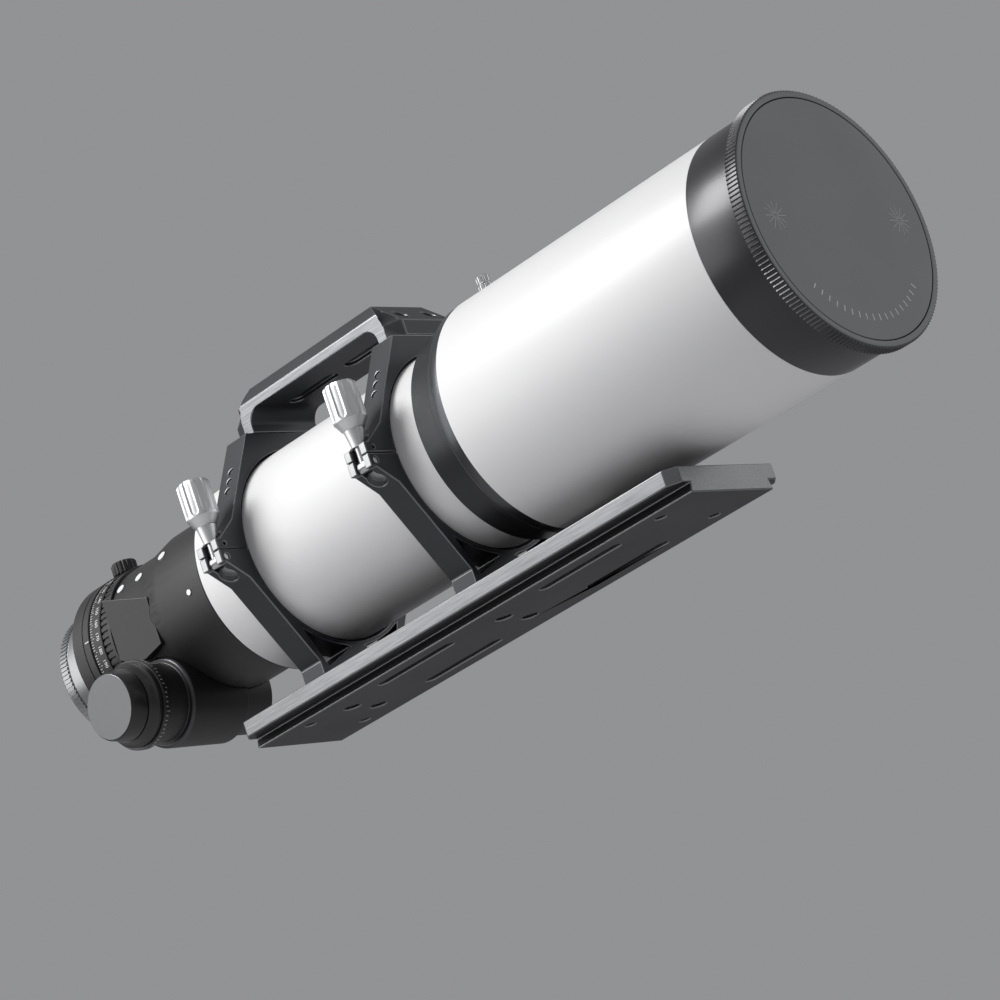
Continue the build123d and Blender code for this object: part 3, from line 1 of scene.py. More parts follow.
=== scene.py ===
"""Refractor astrograph telescope: finished pieces, finishes and studio around the fixed CAD frame.

Metres.  +X runs along the optical axis towards the sky, -Y is the side of the clamps and the
focus knob, +Z is up, and the origin is the middle of the dovetail plate's underside.
"""

import logging
import math
from collections.abc import Callable
from dataclasses import dataclass, field
from enum import Enum

import bmesh
import bpy
from mathutils import Matrix, Vector


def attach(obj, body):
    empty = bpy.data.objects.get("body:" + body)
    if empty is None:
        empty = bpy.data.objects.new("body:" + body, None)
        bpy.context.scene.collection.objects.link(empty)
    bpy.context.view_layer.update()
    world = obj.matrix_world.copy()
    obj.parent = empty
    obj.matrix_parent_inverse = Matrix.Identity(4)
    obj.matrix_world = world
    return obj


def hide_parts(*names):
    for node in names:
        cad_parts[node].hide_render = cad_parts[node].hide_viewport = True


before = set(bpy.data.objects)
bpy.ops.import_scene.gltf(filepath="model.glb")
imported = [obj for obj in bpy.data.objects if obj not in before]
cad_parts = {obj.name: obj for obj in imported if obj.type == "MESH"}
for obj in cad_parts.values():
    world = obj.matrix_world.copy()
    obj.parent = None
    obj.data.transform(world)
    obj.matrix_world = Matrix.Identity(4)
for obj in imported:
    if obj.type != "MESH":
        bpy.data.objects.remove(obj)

LOG = logging.getLogger("astrograph")
MM = 0.001
AXIS_HEIGHT = 0.1105
PINION = Vector((-0.2642, 0.0, 0.0576))
FULL_TURN = 2 * math.pi
TUBE_STEPS = 256
KNOB_STEPS = 192
SAME_POINT = 1e-9
CAP_HEIGHT_SHARE = 0.72
SPECK_SCALE = 620.0
SPECK_THRESHOLDS = (0.70, 0.78)
DUST_COLOUR = (0.42, 0.41, 0.39, 1.0)
BRUSHED_STRETCH = (0.03, 1.0, 1.0)

Point = tuple[float, float]
Colour = tuple[float, float, float]


# ------------------------------------------------------------------------------- shader groups
class ShaderGroup:
    """A shader node group with named inputs and outputs, built once and shared."""

    def __init__(self, name: str, inputs: dict[str, object], outputs: list[str]) -> None:
        """Makes the group's sockets.

        Args:
            name: the group's name.
            inputs: default values by input name; a tuple makes a vector socket.
            outputs: names of the float outputs.
        """
        self.tree = bpy.data.node_groups.new(name, "ShaderNodeTree")
        for key, value in inputs.items():
            kind = "NodeSocketVector" if isinstance(value, tuple) else "NodeSocketFloat"
            socket = self.tree.interface.new_socket(key, in_out="INPUT", socket_type=kind)
            socket.default_value = value
        for key in outputs:
            self.tree.interface.new_socket(key, in_out="OUTPUT", socket_type="NodeSocketFloat")
        self.given = self.tree.nodes.new("NodeGroupInput")
        self.result = self.tree.nodes.new("NodeGroupOutput")

    def node(self, kind: str, **values: object) -> bpy.types.Node:
        """Adds a node and sets its attributes.

        Args:
            kind: the node's type name.
            values: attributes such as operation.

        Returns:
            The new node.
        """
        made = self.tree.nodes.new(kind)
        for key, value in values.items():
            setattr(made, key, value)
        return made

    def link(self, source: bpy.types.NodeSocket, target: bpy.types.NodeSocket) -> None:
        """Joins two sockets."""
        self.tree.links.new(source, target)


def surface_grain_group() -> bpy.types.NodeTree:
    """Builds the group for cast, coated and brushed surfaces: fine height, patches and dust.

    Returns:
        The group's tree, with outputs Height, Patch and Dust.
    """
    group = ShaderGroup(
        "surface_grain",
        {"Vector": (0.0, 0.0, 0.0), "Stretch": (1.0, 1.0, 1.0), "Scale": 900.0, "Patch Scale": 14.0},
        ["Height", "Patch", "Dust"],
    )
    stretched = group.node("ShaderNodeVectorMath", operation="MULTIPLY")
    group.link(group.given.outputs["Vector"], stretched.inputs[0])
    group.link(group.given.outputs["Stretch"], stretched.inputs[1])
    fine = group.node("ShaderNodeTexNoise")
    fine.inputs["Detail"].default_value = 3.0
    group.link(stretched.outputs[0], fine.inputs["Vector"])
    group.link(group.given.outputs["Scale"], fine.inputs["Scale"])
    group.link(fine.outputs["Fac"], group.result.inputs["Height"])
    patch = group.node("ShaderNodeTexNoise")
    patch.inputs["Detail"].default_value = 4.0
    group.link(group.given.outputs["Vector"], patch.inputs["Vector"])
    group.link(group.given.outputs["Patch Scale"], patch.inputs["Scale"])
    group.link(patch.outputs["Fac"], group.result.inputs["Patch"])
    specks = group.node("ShaderNodeTexNoise")
    specks.inputs["Scale"].default_value = SPECK_SCALE
    specks.inputs["Detail"].default_value = 1.0
    group.link(group.given.outputs["Vector"], specks.inputs["Vector"])
    cut = group.node("ShaderNodeMapRange")
    for key, value in zip(("From Min", "From Max"), SPECK_THRESHOLDS):
        cut.inputs[key].default_value = value
    group.link(specks.outputs["Fac"], cut.inputs["Value"])
    group.link(cut.outputs["Result"], group.result.inputs["Dust"])
    return group.tree


def lathe_lines_group() -> bpy.types.NodeTree:
    """Builds the group for turned metal: fine rings about the X axis of the vector it is given.

    Returns:
        The group's tree, with the output Height.
    """
    group = ShaderGroup("lathe_lines", {"Vector": (0.0, 0.0, 0.0), "Scale": 2200.0}, ["Height"])
    parts = group.node("ShaderNodeSeparateXYZ")
    group.link(group.given.outputs["Vector"], parts.inputs[0])
    squares = []
    for name in ("Y", "Z"):
        square = group.node("ShaderNodeMath", operation="POWER")
        square.inputs[1].default_value = 2.0
        group.link(parts.outputs[name], square.inputs[0])
        squares.append(square)
    total = group.node("ShaderNodeMath", operation="ADD")
    group.link(squares[0].outputs[0], total.inputs[0])
    group.link(squares[1].outputs[0], total.inputs[1])
    radius = group.node("ShaderNodeMath", operation="SQRT")
    group.link(total.outputs[0], radius.inputs[0])
    place = group.node("ShaderNodeCombineXYZ")
    group.link(parts.outputs["X"], place.inputs["X"])
    group.link(radius.outputs[0], place.inputs["Y"])
    lines = group.node("ShaderNodeTexNoise")
    lines.inputs["Detail"].default_value = 4.0
    group.link(place.outputs[0], lines.inputs["Vector"])
    group.link(group.given.outputs["Scale"], lines.inputs["Scale"])
    group.link(lines.outputs["Fac"], group.result.inputs["Height"])
    return group.tree


class Grain(Enum):
    """How a surface was worked, which settles the direction of its fine lines."""

    COATED = "coated"
    BRUSHED = "brushed"
    TURNED_ABOUT_TUBE = "turned about the optical axis"
    TURNED_ABOUT_PINION = "turned about the pinion shaft"
    TURNED_ABOUT_UPRIGHT = "turned about an upright axis"


GRAIN_GROUP = surface_grain_group()
LATHE_GROUP = lathe_lines_group()


@dataclass(frozen=True)
class Finish:
    """One finish of the telescope, with its procedural material.

    Attributes:
        name: the material's name.
        colour: linear base colour.
        roughness: mean roughness.
        metallic: 0 for paint and plastic, 1 for bare or anodised metal.
        grain: how the surface was worked.
        grain_scale: noise scale of the finest lines.
        grain_depth: bump distance in metres.
        mottling: share by which the colour varies in broad patches.
        roughness_spread: how far roughness strays from its mean.
        dust: how strongly fine pale specks show.
        coat: clear coat weight.
        coat_roughness: clear coat roughness.
        turn_centre: a point on the axis that turned lines run about.
    """

    name: str
    colour: Colour
    roughness: float
    metallic: float = 0.0
    grain: Grain = Grain.COATED
    grain_scale: float = 900.0
    grain_depth: float = 0.00002
    mottling: float = 0.08
    roughness_spread: float = 0.06
    dust: float = 0.0
    coat: float = 0.0
    coat_roughness: float = 0.08
    turn_centre: tuple[float, float, float] = (0.0, 0.0, AXIS_HEIGHT)

    def shade(self, share: float) -> tuple[float, float, float, float]:
        """The base colour scaled by a share, with full alpha."""
        return (*(min(1.0, c * share) for c in self.colour), 1.0)

    def mapping_turn(self) -> tuple[float, float, float]:
        """The turn that brings this finish's lathe axis onto X."""
        quarter = math.pi / 2
        turns = {
            Grain.TURNED_ABOUT_PINION: (0.0, 0.0, quarter),
            Grain.TURNED_ABOUT_UPRIGHT: (0.0, quarter, 0.0),
        }
        return turns.get(self.grain, (0.0, 0.0, 0.0))

    def build(self) -> bpy.types.Material:
        """Builds the node tree.

        Returns:
            The finished material.
        """
        material = bpy.data.materials.new(self.name)
        material.use_nodes = True
        nodes, links = material.node_tree.nodes, material.node_tree.links
        shader = nodes["Principled BSDF"]
        coordinates = nodes.new("ShaderNodeTexCoord")
        grain = nodes.new("ShaderNodeGroup")
        grain.node_tree = GRAIN_GROUP
        grain.inputs["Scale"].default_value = self.grain_scale
        grain.inputs["Stretch"].default_value = (
            BRUSHED_STRETCH if self.grain is Grain.BRUSHED else (1.0, 1.0, 1.0)
        )
        links.new(coordinates.outputs["Object"], grain.inputs["Vector"])
        height = grain.outputs["Height"]
        if self.grain not in (Grain.COATED, Grain.BRUSHED):
            centred = nodes.new("ShaderNodeVectorMath")
            centred.operation = "SUBTRACT"
            centred.inputs[1].default_value = self.turn_centre
            links.new(coordinates.outputs["Object"], centred.inputs[0])
            turned = nodes.new("ShaderNodeMapping")
            turned.inputs["Rotation"].default_value = self.mapping_turn()
            links.new(centred.outputs[0], turned.inputs["Vector"])
            lines = nodes.new("ShaderNodeGroup")
            lines.node_tree = LATHE_GROUP
            lines.inputs["Scale"].default_value = self.grain_scale
            links.new(turned.outputs["Vector"], lines.inputs["Vector"])
            height = lines.outputs["Height"]
        tint = nodes.new("ShaderNodeMix")
        tint.data_type = "RGBA"
        tint.inputs["A"].default_value = self.shade(1.0 - self.mottling)
        tint.inputs["B"].default_value = self.shade(1.0 + self.mottling)
        links.new(grain.outputs["Height" if self.grain is Grain.BRUSHED else "Patch"], tint.inputs["Factor"])
        base = tint.outputs["Result"]
        if self.dust > 0:
            amount = nodes.new("ShaderNodeMath")
            amount.operation = "MULTIPLY"
            amount.inputs[1].default_value = self.dust
            links.new(grain.outputs["Dust"], amount.inputs[0])
            dusted = nodes.new("ShaderNodeMix")
            dusted.data_type = "RGBA"
            dusted.inputs["B"].default_value = DUST_COLOUR
            links.new(amount.outputs[0], dusted.inputs["Factor"])
            links.new(base, dusted.inputs["A"])
            base = dusted.outputs["Result"]
        links.new(base, shader.inputs["Base Color"])
        rough = nodes.new("ShaderNodeMapRange")
        rough.inputs["To Min"].default_value = max(0.02, self.roughness - self.roughness_spread)
        rough.inputs["To Max"].default_value = min(1.0, self.roughness + self.roughness_spread)
        links.new(grain.outputs["Patch"], rough.inputs["Value"])
        links.new(rough.outputs["Result"], shader.inputs["Roughness"])
        bump = nodes.new("ShaderNodeBump")
        bump.inputs["Strength"].default_value = 1.0
        bump.inputs["Distance"].default_value = self.grain_depth
        links.new(height, bump.inputs["Height"])
        links.new(bump.outputs["Normal"], shader.inputs["Normal"])
        shader.inputs["Metallic"].default_value = self.metallic
        shader.inputs["Coat Weight"].default_value = self.coat
        shader.inputs["Coat Roughness"].default_value = self.coat_roughness
        return material


@dataclass(frozen=True)
class CoatedGlass:
    """Optical glass with a faint coloured coating and a trace of dust in its roughness."""

    name: str
    tint: Colour

    def build(self) -> bpy.types.Material:
        """Builds the glass.

        Returns:
            The finished material.
        """
        material = bpy.data.materials.new(self.name)
        material.use_nodes = True
        nodes, links = material.node_tree.nodes, material.node_tree.links
        shader = nodes["Principled BSDF"]
        shader.inputs["Transmission Weight"].default_value = 1.0
        shader.inputs["IOR"].default_value = 1.52
        coordinates = nodes.new("ShaderNodeTexCoord")
        grain = nodes.new("ShaderNodeGroup")
        grain.node_tree = GRAIN_GROUP
        links.new(coordinates.outputs["Object"], grain.inputs["Vector"])
        tint = nodes.new("ShaderNodeMix")
        tint.data_type = "RGBA"
        tint.inputs["A"].default_value = (*self.tint, 1.0)
        tint.inputs["B"].default_value = (*(min(1.0, c * 1.04) for c in self.tint), 1.0)
        links.new(grain.outputs["Patch"], tint.inputs["Factor"])
        links.new(tint.outputs["Result"], shader.inputs["Base Color"])
        rough = nodes.new("ShaderNodeMapRange")
        rough.inputs["To Min"].default_value = 0.01
        rough.inputs["To Max"].default_value = 0.05
        links.new(grain.outputs["Patch"], rough.inputs["Value"])
        links.new(rough.outputs["Result"], shader.inputs["Roughness"])
        return material


@dataclass
class Finishes:
    """Every finish of the telescope, built once and handed out by name."""

    made: dict[str, bpy.types.Material] = field(default_factory=dict)

    def build(self) -> None:
        """Builds all materials."""
        tube, pinion, upright = Grain.TURNED_ABOUT_TUBE, Grain.TURNED_ABOUT_PINION, Grain.TURNED_ABOUT_UPRIGHT
        coated, brushed = Grain.COATED, Grain.BRUSHED
        for row in (
            ("satin_white_coat", (0.80, 0.80, 0.80), 0.42, 0.0, coated, 1500, 0.000012, 0.015, 0.05, 0.0,
             0.15, 0.35),
            ("gloss_black_band", (0.030, 0.030, 0.033), 0.34, 0.55, tube, 2600, 0.000006, 0.12, 0.05, 0.02,
             0.25, 0.22),
            ("dark_anodised_turned", (0.034, 0.035, 0.038), 0.34, 0.6, tube, 2400, 0.000010, 0.10, 0.06,
             0.02),
            ("rear_ring_dark", (0.085, 0.087, 0.092), 0.30, 0.9, tube, 2400, 0.000008, 0.08, 0.05),
            ("cover_disc_grey", (0.13, 0.133, 0.138), 0.42, 0.75, tube, 1800, 0.000006, 0.06, 0.05, 0.015),
            ("cover_mark_grey", (0.74, 0.745, 0.75), 0.50, 0.0, coated, 1500, 0.000004, 0.05, 0.05),
            ("matte_black_coat", (0.014, 0.014, 0.015), 0.46, 0.0, coated, 1900, 0.000022, 0.15, 0.07, 0.03),
            ("ring_dark_coat", (0.052, 0.054, 0.058), 0.40, 0.7, coated, 2000, 0.000010, 0.10, 0.06, 0.02),
            # bright grey on the shield rear ring's rear chamfer: a painted highlight
            ("chamfer_bright", (0.52, 0.53, 0.54), 0.28, 1.0, brushed, 2600, 0.000004, 0.06, 0.05),
            # lighter grey on the edge breaks of rings, handle and plate: a painted highlight
            ("ring_edge", (0.24, 0.243, 0.25), 0.32, 1.0, brushed, 2600, 0.000004, 0.06, 0.05),
            ("machined_bright", (0.40, 0.405, 0.41), 0.38, 1.0, brushed, 2200, 0.000006, 0.05, 0.05),
            ("plate_brushed", (0.23, 0.233, 0.24), 0.40, 0.95, brushed, 1500, 0.000014, 0.55, 0.07),
            ("plate_black", (0.022, 0.022, 0.024), 0.42, 0.5, brushed, 1800, 0.000010, 0.12, 0.07, 0.03),
            ("knob_silver", (0.74, 0.745, 0.75), 0.26, 1.0, upright, 2600, 0.000006, 0.05, 0.06),
            ("back_silver", (0.34, 0.343, 0.35), 0.34, 1.0, tube, 2600, 0.000008, 0.05, 0.06),
            ("steel_dark", (0.10, 0.10, 0.103), 0.34, 1.0, coated, 2400, 0.000004, 0.08, 0.06),
            ("steel_bright", (0.52, 0.52, 0.525), 0.30, 1.0, coated, 2400, 0.000004, 0.08, 0.06),
            ("screw_satin", (0.76, 0.765, 0.77), 0.50, 0.5, coated, 2400, 0.000004, 0.05, 0.06),
            ("bush_brass", (0.60, 0.42, 0.16), 0.32, 1.0, pinion, 2400, 0.000006, 0.08, 0.06),
            ("knob_black", (0.026, 0.026, 0.027), 0.33, 0.3, pinion, 2200, 0.000010, 0.12, 0.06, 0.02,
             0.2, 0.2),
            ("disc_satin_grey", (0.13, 0.133, 0.137), 0.38, 0.8, pinion, 1800, 0.000008, 0.08, 0.05),
            ("black_felt", (0.012, 0.012, 0.013), 0.95, 0.0, coated, 1300, 0.00025, 0.35, 0.04),
            # lighter grey on the edge breaks of the focuser housing, boss and panel: a painted highlight
            ("worn_edge", (0.07, 0.071, 0.075), 0.32, 0.7, coated, 1900, 0.000008, 0.12, 0.06),
            ("mark_white", (0.72, 0.72, 0.70), 0.55, 0.0, coated, 1500, 0.000006, 0.06, 0.06),
            ("mask_black_sheet", (0.028, 0.028, 0.029), 0.55, 0.0, coated, 1400, 0.00002, 0.12, 0.06),
        ):
            centre = {"turn_centre": tuple(PINION)} if pinion in row else {}
            finish = Finish(*row, **centre)
            self.made[finish.name] = finish.build()
        self.made["coated_glass"] = CoatedGlass("coated_glass", (0.86, 0.96, 0.93)).build()

    def __getitem__(self, name: str) -> bpy.types.Material:
        """The material of that name."""
        return self.made[name]


FINISHES = Finishes()


# ------------------------------------------------------------------------------- mesh tools
@dataclass(frozen=True)
class TurnAxis:
    """An axis that pieces are turned about.

    Attributes:
        origin: a point on the axis.
        along: the direction that a profile's first coordinate runs.
        zero: the direction of angle 0.
    """

    origin: Vector
    along: Vector
    zero: Vector

    def place(self, reach: float, radius: float, angle: float) -> Vector:
        """A point by reach along the axis, radius and angle."""
        side = self.along.cross(self.zero)
        out = self.zero * math.cos(angle) + side * math.sin(angle)
        return self.origin + self.along * reach + out * radius


TUBE_AXIS = TurnAxis(Vector((0, 0, AXIS_HEIGHT)), Vector((1, 0, 0)), Vector((0, 1, 0)))
PINION_AXIS = TurnAxis(PINION, Vector((0, -1, 0)), Vector((1, 0, 0)))


def radial_axis(x: float, degrees: float) -> TurnAxis:
    """The axis that points out from the optical axis at a place and an angle from +Y."""
    turn = math.radians(degrees)
    return TurnAxis(Vector((x, 0, AXIS_HEIGHT)), Vector((0, math.cos(turn), math.sin(turn))),
                    Vector((1, 0, 0)))


@dataclass(frozen=True)
class Flutes:
    """Grooves along a turned piece.

    Attributes:
        count: number of grooves.
        depth: groove depth in metres.
        start: reach where the grooves begin.
        end: reach where they end.
        width: share of the pitch that a groove takes.
        round_start: length over which a groove opens out from a round end.
        steepness: how quickly a groove's sides reach its full depth.
    """

    count: int
    depth: float
    start: float
    end: float
    width: float = 0.5
    round_start: float = 0.0
    steepness: float = 1.0

    def cut(self, reach: float, angle: float) -> float:
        """How far the surface is cut in at that place.

        Args:
            reach: place along the axis.
            angle: angle about the axis.

        Returns:
            The depth in metres, 0 on a land.
        """
        if not self.start <= reach <= self.end:
            return 0.0
        phase = (angle * self.count / FULL_TURN) % 1.0
        half = self.width / 2
        if reach < self.start + self.round_start:
            short = (self.start + self.round_start - reach) / self.round_start
            half *= math.sqrt(max(0.0, 1.0 - short**2))
        inside = self.steepness * (1.0 - abs(phase - 0.5) / half) if half > 0 else 0.0
        return self.depth * math.sin(min(1.0, max(0.0, inside)) * math.pi / 2)


def softened(profile: list[Point], radius: float, steps: int = 3) -> list[Point]:
    """Rounds the corners of a closed profile.

    Args:
        profile: corners in order.
        radius: largest rounding, kept under 0.4 of the shorter side at each corner.
        steps: points on each rounding.

    Returns:
        The rounded profile.
    """
    rounded: list[Point] = []
    count = len(profile)
    for i, corner in enumerate(profile):
        here = Vector((*corner, 0))
        before = Vector((*profile[i - 1], 0)) - here
        after = Vector((*profile[(i + 1) % count], 0)) - here
        if corner[1] <= SAME_POINT or before.length < SAME_POINT or after.length < SAME_POINT:
            rounded.append(corner)
            continue
        reach = min(radius, 0.4 * before.length, 0.4 * after.length)
        start, end = here + before.normalized() * reach, here + after.normalized() * reach
        for k in range(steps + 1):
            t = k / steps
            spot = start * (1 - t) ** 2 + here * (2 * t * (1 - t)) + end * t**2
            rounded.append((spot.x, spot.y))
    return rounded


def piece_from(mesh: bpy.types.Mesh, name: str) -> bpy.types.Object:
    """Links a mesh as a new object at the origin."""
    piece = bpy.data.objects.new(name, mesh)
    bpy.context.scene.collection.objects.link(piece)
    return piece


def smooth(mesh: bpy.types.Mesh, degrees: float = 32.0) -> None:
    """Smooth shading with edges sharper than an angle kept sharp."""
    for face in mesh.polygons:
        face.use_smooth = True
    mesh.set_sharp_from_angle(angle=math.radians(degrees))


def turned_mesh(
    profile: list[Point], axis: TurnAxis, segments: int = KNOB_STEPS, flutes: Flutes | None = None
) -> bpy.types.Mesh:
    """Turns a closed profile about an axis.

    Args:
        profile: closed profile of (reach, radius) in metres; it may touch the axis.
        axis: the axis to turn about.
        segments: steps round the axis.
        flutes: grooves cut along the piece, if any.

    Returns:
        A closed mesh whose faces point outwards.
    """
    mesh = bpy.data.meshes.new("turned")
    shape = bmesh.new()
    loops = []
    for k in range(segments):
        angle = FULL_TURN * k / segments
        loop = []
        for reach, radius in profile:
            cut = flutes.cut(reach, angle) if flutes and radius > 0.003 else 0.0
            loop.append(shape.verts.new(axis.place(reach, max(0.0, radius - cut), angle)))
        loops.append(loop)
    for k in range(segments):
        near, far = loops[k], loops[(k + 1) % segments]
        for i in range(len(profile)):
            j = (i + 1) % len(profile)
            if profile[i][1] > SAME_POINT or profile[j][1] > SAME_POINT:
                shape.faces.new((near[i], near[j], far[j], far[i]))
    bmesh.ops.remove_doubles(shape, verts=shape.verts[:], dist=1e-7)
    bmesh.ops.dissolve_degenerate(shape, edges=shape.edges[:], dist=1e-8)
    bmesh.ops.recalc_face_normals(shape, faces=shape.faces[:])
    shape.to_mesh(mesh)
    shape.free()
    smooth(mesh)
    return mesh


def mm(profile: list[Point]) -> list[Point]:
    """A profile given in millimetres, in metres."""
    return [(reach * MM, radius * MM) for reach, radius in profile]


def settle(
    piece: bpy.types.Object, body: str, finishes: list[str], replaced: tuple[str, ...] = ()
) -> bpy.types.Object:
    """Dresses a finished piece and ties it to its body.

    Args:
        piece: the piece, at the origin.
        body: the body that it rides on.
        finishes: names of its materials, in slot order.
        replaced: nodes that it stands for.

    Returns:
        The same piece.
    """
    numbers = [face.material_index for face in piece.data.polygons]
    piece.data.materials.clear()
    for name in finishes:
        piece.data.materials.append(FINISHES[name])
    piece.data.polygons.foreach_set("material_index", numbers)
    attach(piece, body)
    if replaced:
        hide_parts(*replaced)
    LOG.info("%s: %d faces on %s", piece.name, len(piece.data.polygons), body)
    return piece


def turned_piece(
    name: str, profile: list[Point], node: str, body: str, finish: str, slot: str, axis: TurnAxis = TUBE_AXIS,
    segments: int = TUBE_STEPS, rounding: float = 0.0, flutes: Flutes | None = None,
) -> None:
    """Turns a piece that stands for a node, dresses it and ties it to its body.

    Args:
        name: the piece's name.
        profile: closed profile of (reach, radius) in millimetres.
        node: the CAD node that it stands for.
        body: the body that it rides on.
        finish: the name of its material.
        slot: the record's material slot; not used.
        axis: the axis to turn about.
        segments: steps round the axis.
        rounding: largest corner rounding in metres, 0 for none.
        flutes: grooves cut along the piece, if any.
    """
    outline = softened(mm(profile), rounding) if rounding else mm(profile)
    settle(piece_from(turned_mesh(outline, axis, segments, flutes), name), body, [finish], (node,))


def bevelled_copy(node: str, name: str, width: float, segments: int = 2,
                  degrees: float = 30.0) -> bpy.types.Object:
    """A copy of a node with its sharp edges broken; the new edge faces take the second material.

    Args:
        node: the CAD node to copy.
        name: the new piece's name.
        width: the edge break in metres.
        segments: faces across the break.
        degrees: edges turning more than this are broken.

    Returns:
        The new piece, not yet riding on a body.
    """
    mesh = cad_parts[node].data.copy()
    mesh.materials.clear()
    for _ in range(2):
        mesh.materials.append(None)
    shape = bmesh.new()
    shape.from_mesh(mesh)
    bmesh.ops.remove_doubles(shape, verts=shape.verts[:], dist=3e-6)
    bmesh.ops.dissolve_limit(
        shape, angle_limit=math.radians(1.0), use_dissolve_boundaries=False, verts=shape.verts[:],
        edges=shape.edges[:],
    )
    for face in shape.faces:
        face.material_index = 0
        face.smooth = True
    shape.to_mesh(mesh)
    shape.free()
    rough_cut = piece_from(mesh, name + "_blank")
    bevel = rough_cut.modifiers.new("edge_break", "BEVEL")
    bevel.width = width
    bevel.segments = segments
    bevel.limit_method = "ANGLE"
    bevel.angle_limit = math.radians(degrees)
    bevel.use_clamp_overlap = False
    bevel.material = 1
    bevel.harden_normals = False
    flat = rough_cut.modifiers.new("flat_faces", "WEIGHTED_NORMAL")
    flat.mode = "FACE_AREA"
    flat.weight = 100
    flat.keep_sharp = False
    graph = bpy.context.evaluated_depsgraph_get()
    done = bpy.data.meshes.new_from_object(rough_cut.evaluated_get(graph))
    bpy.data.objects.remove(rough_cut)
    return piece_from(done, name)


def repaint(piece: bpy.types.Object, number: int, chosen: Callable[[Vector, Vector], bool]) -> None:
    """Gives some plain faces of a piece another of its materials.

    Args:
        piece: the piece, whose plain faces have material number 0.
        number: the material number to give.
        chosen: tells from a face's middle and normal whether it is changed.
    """
    for face in piece.data.polygons:
        if face.material_index == 0 and chosen(face.center, face.normal):
            face.material_index = number


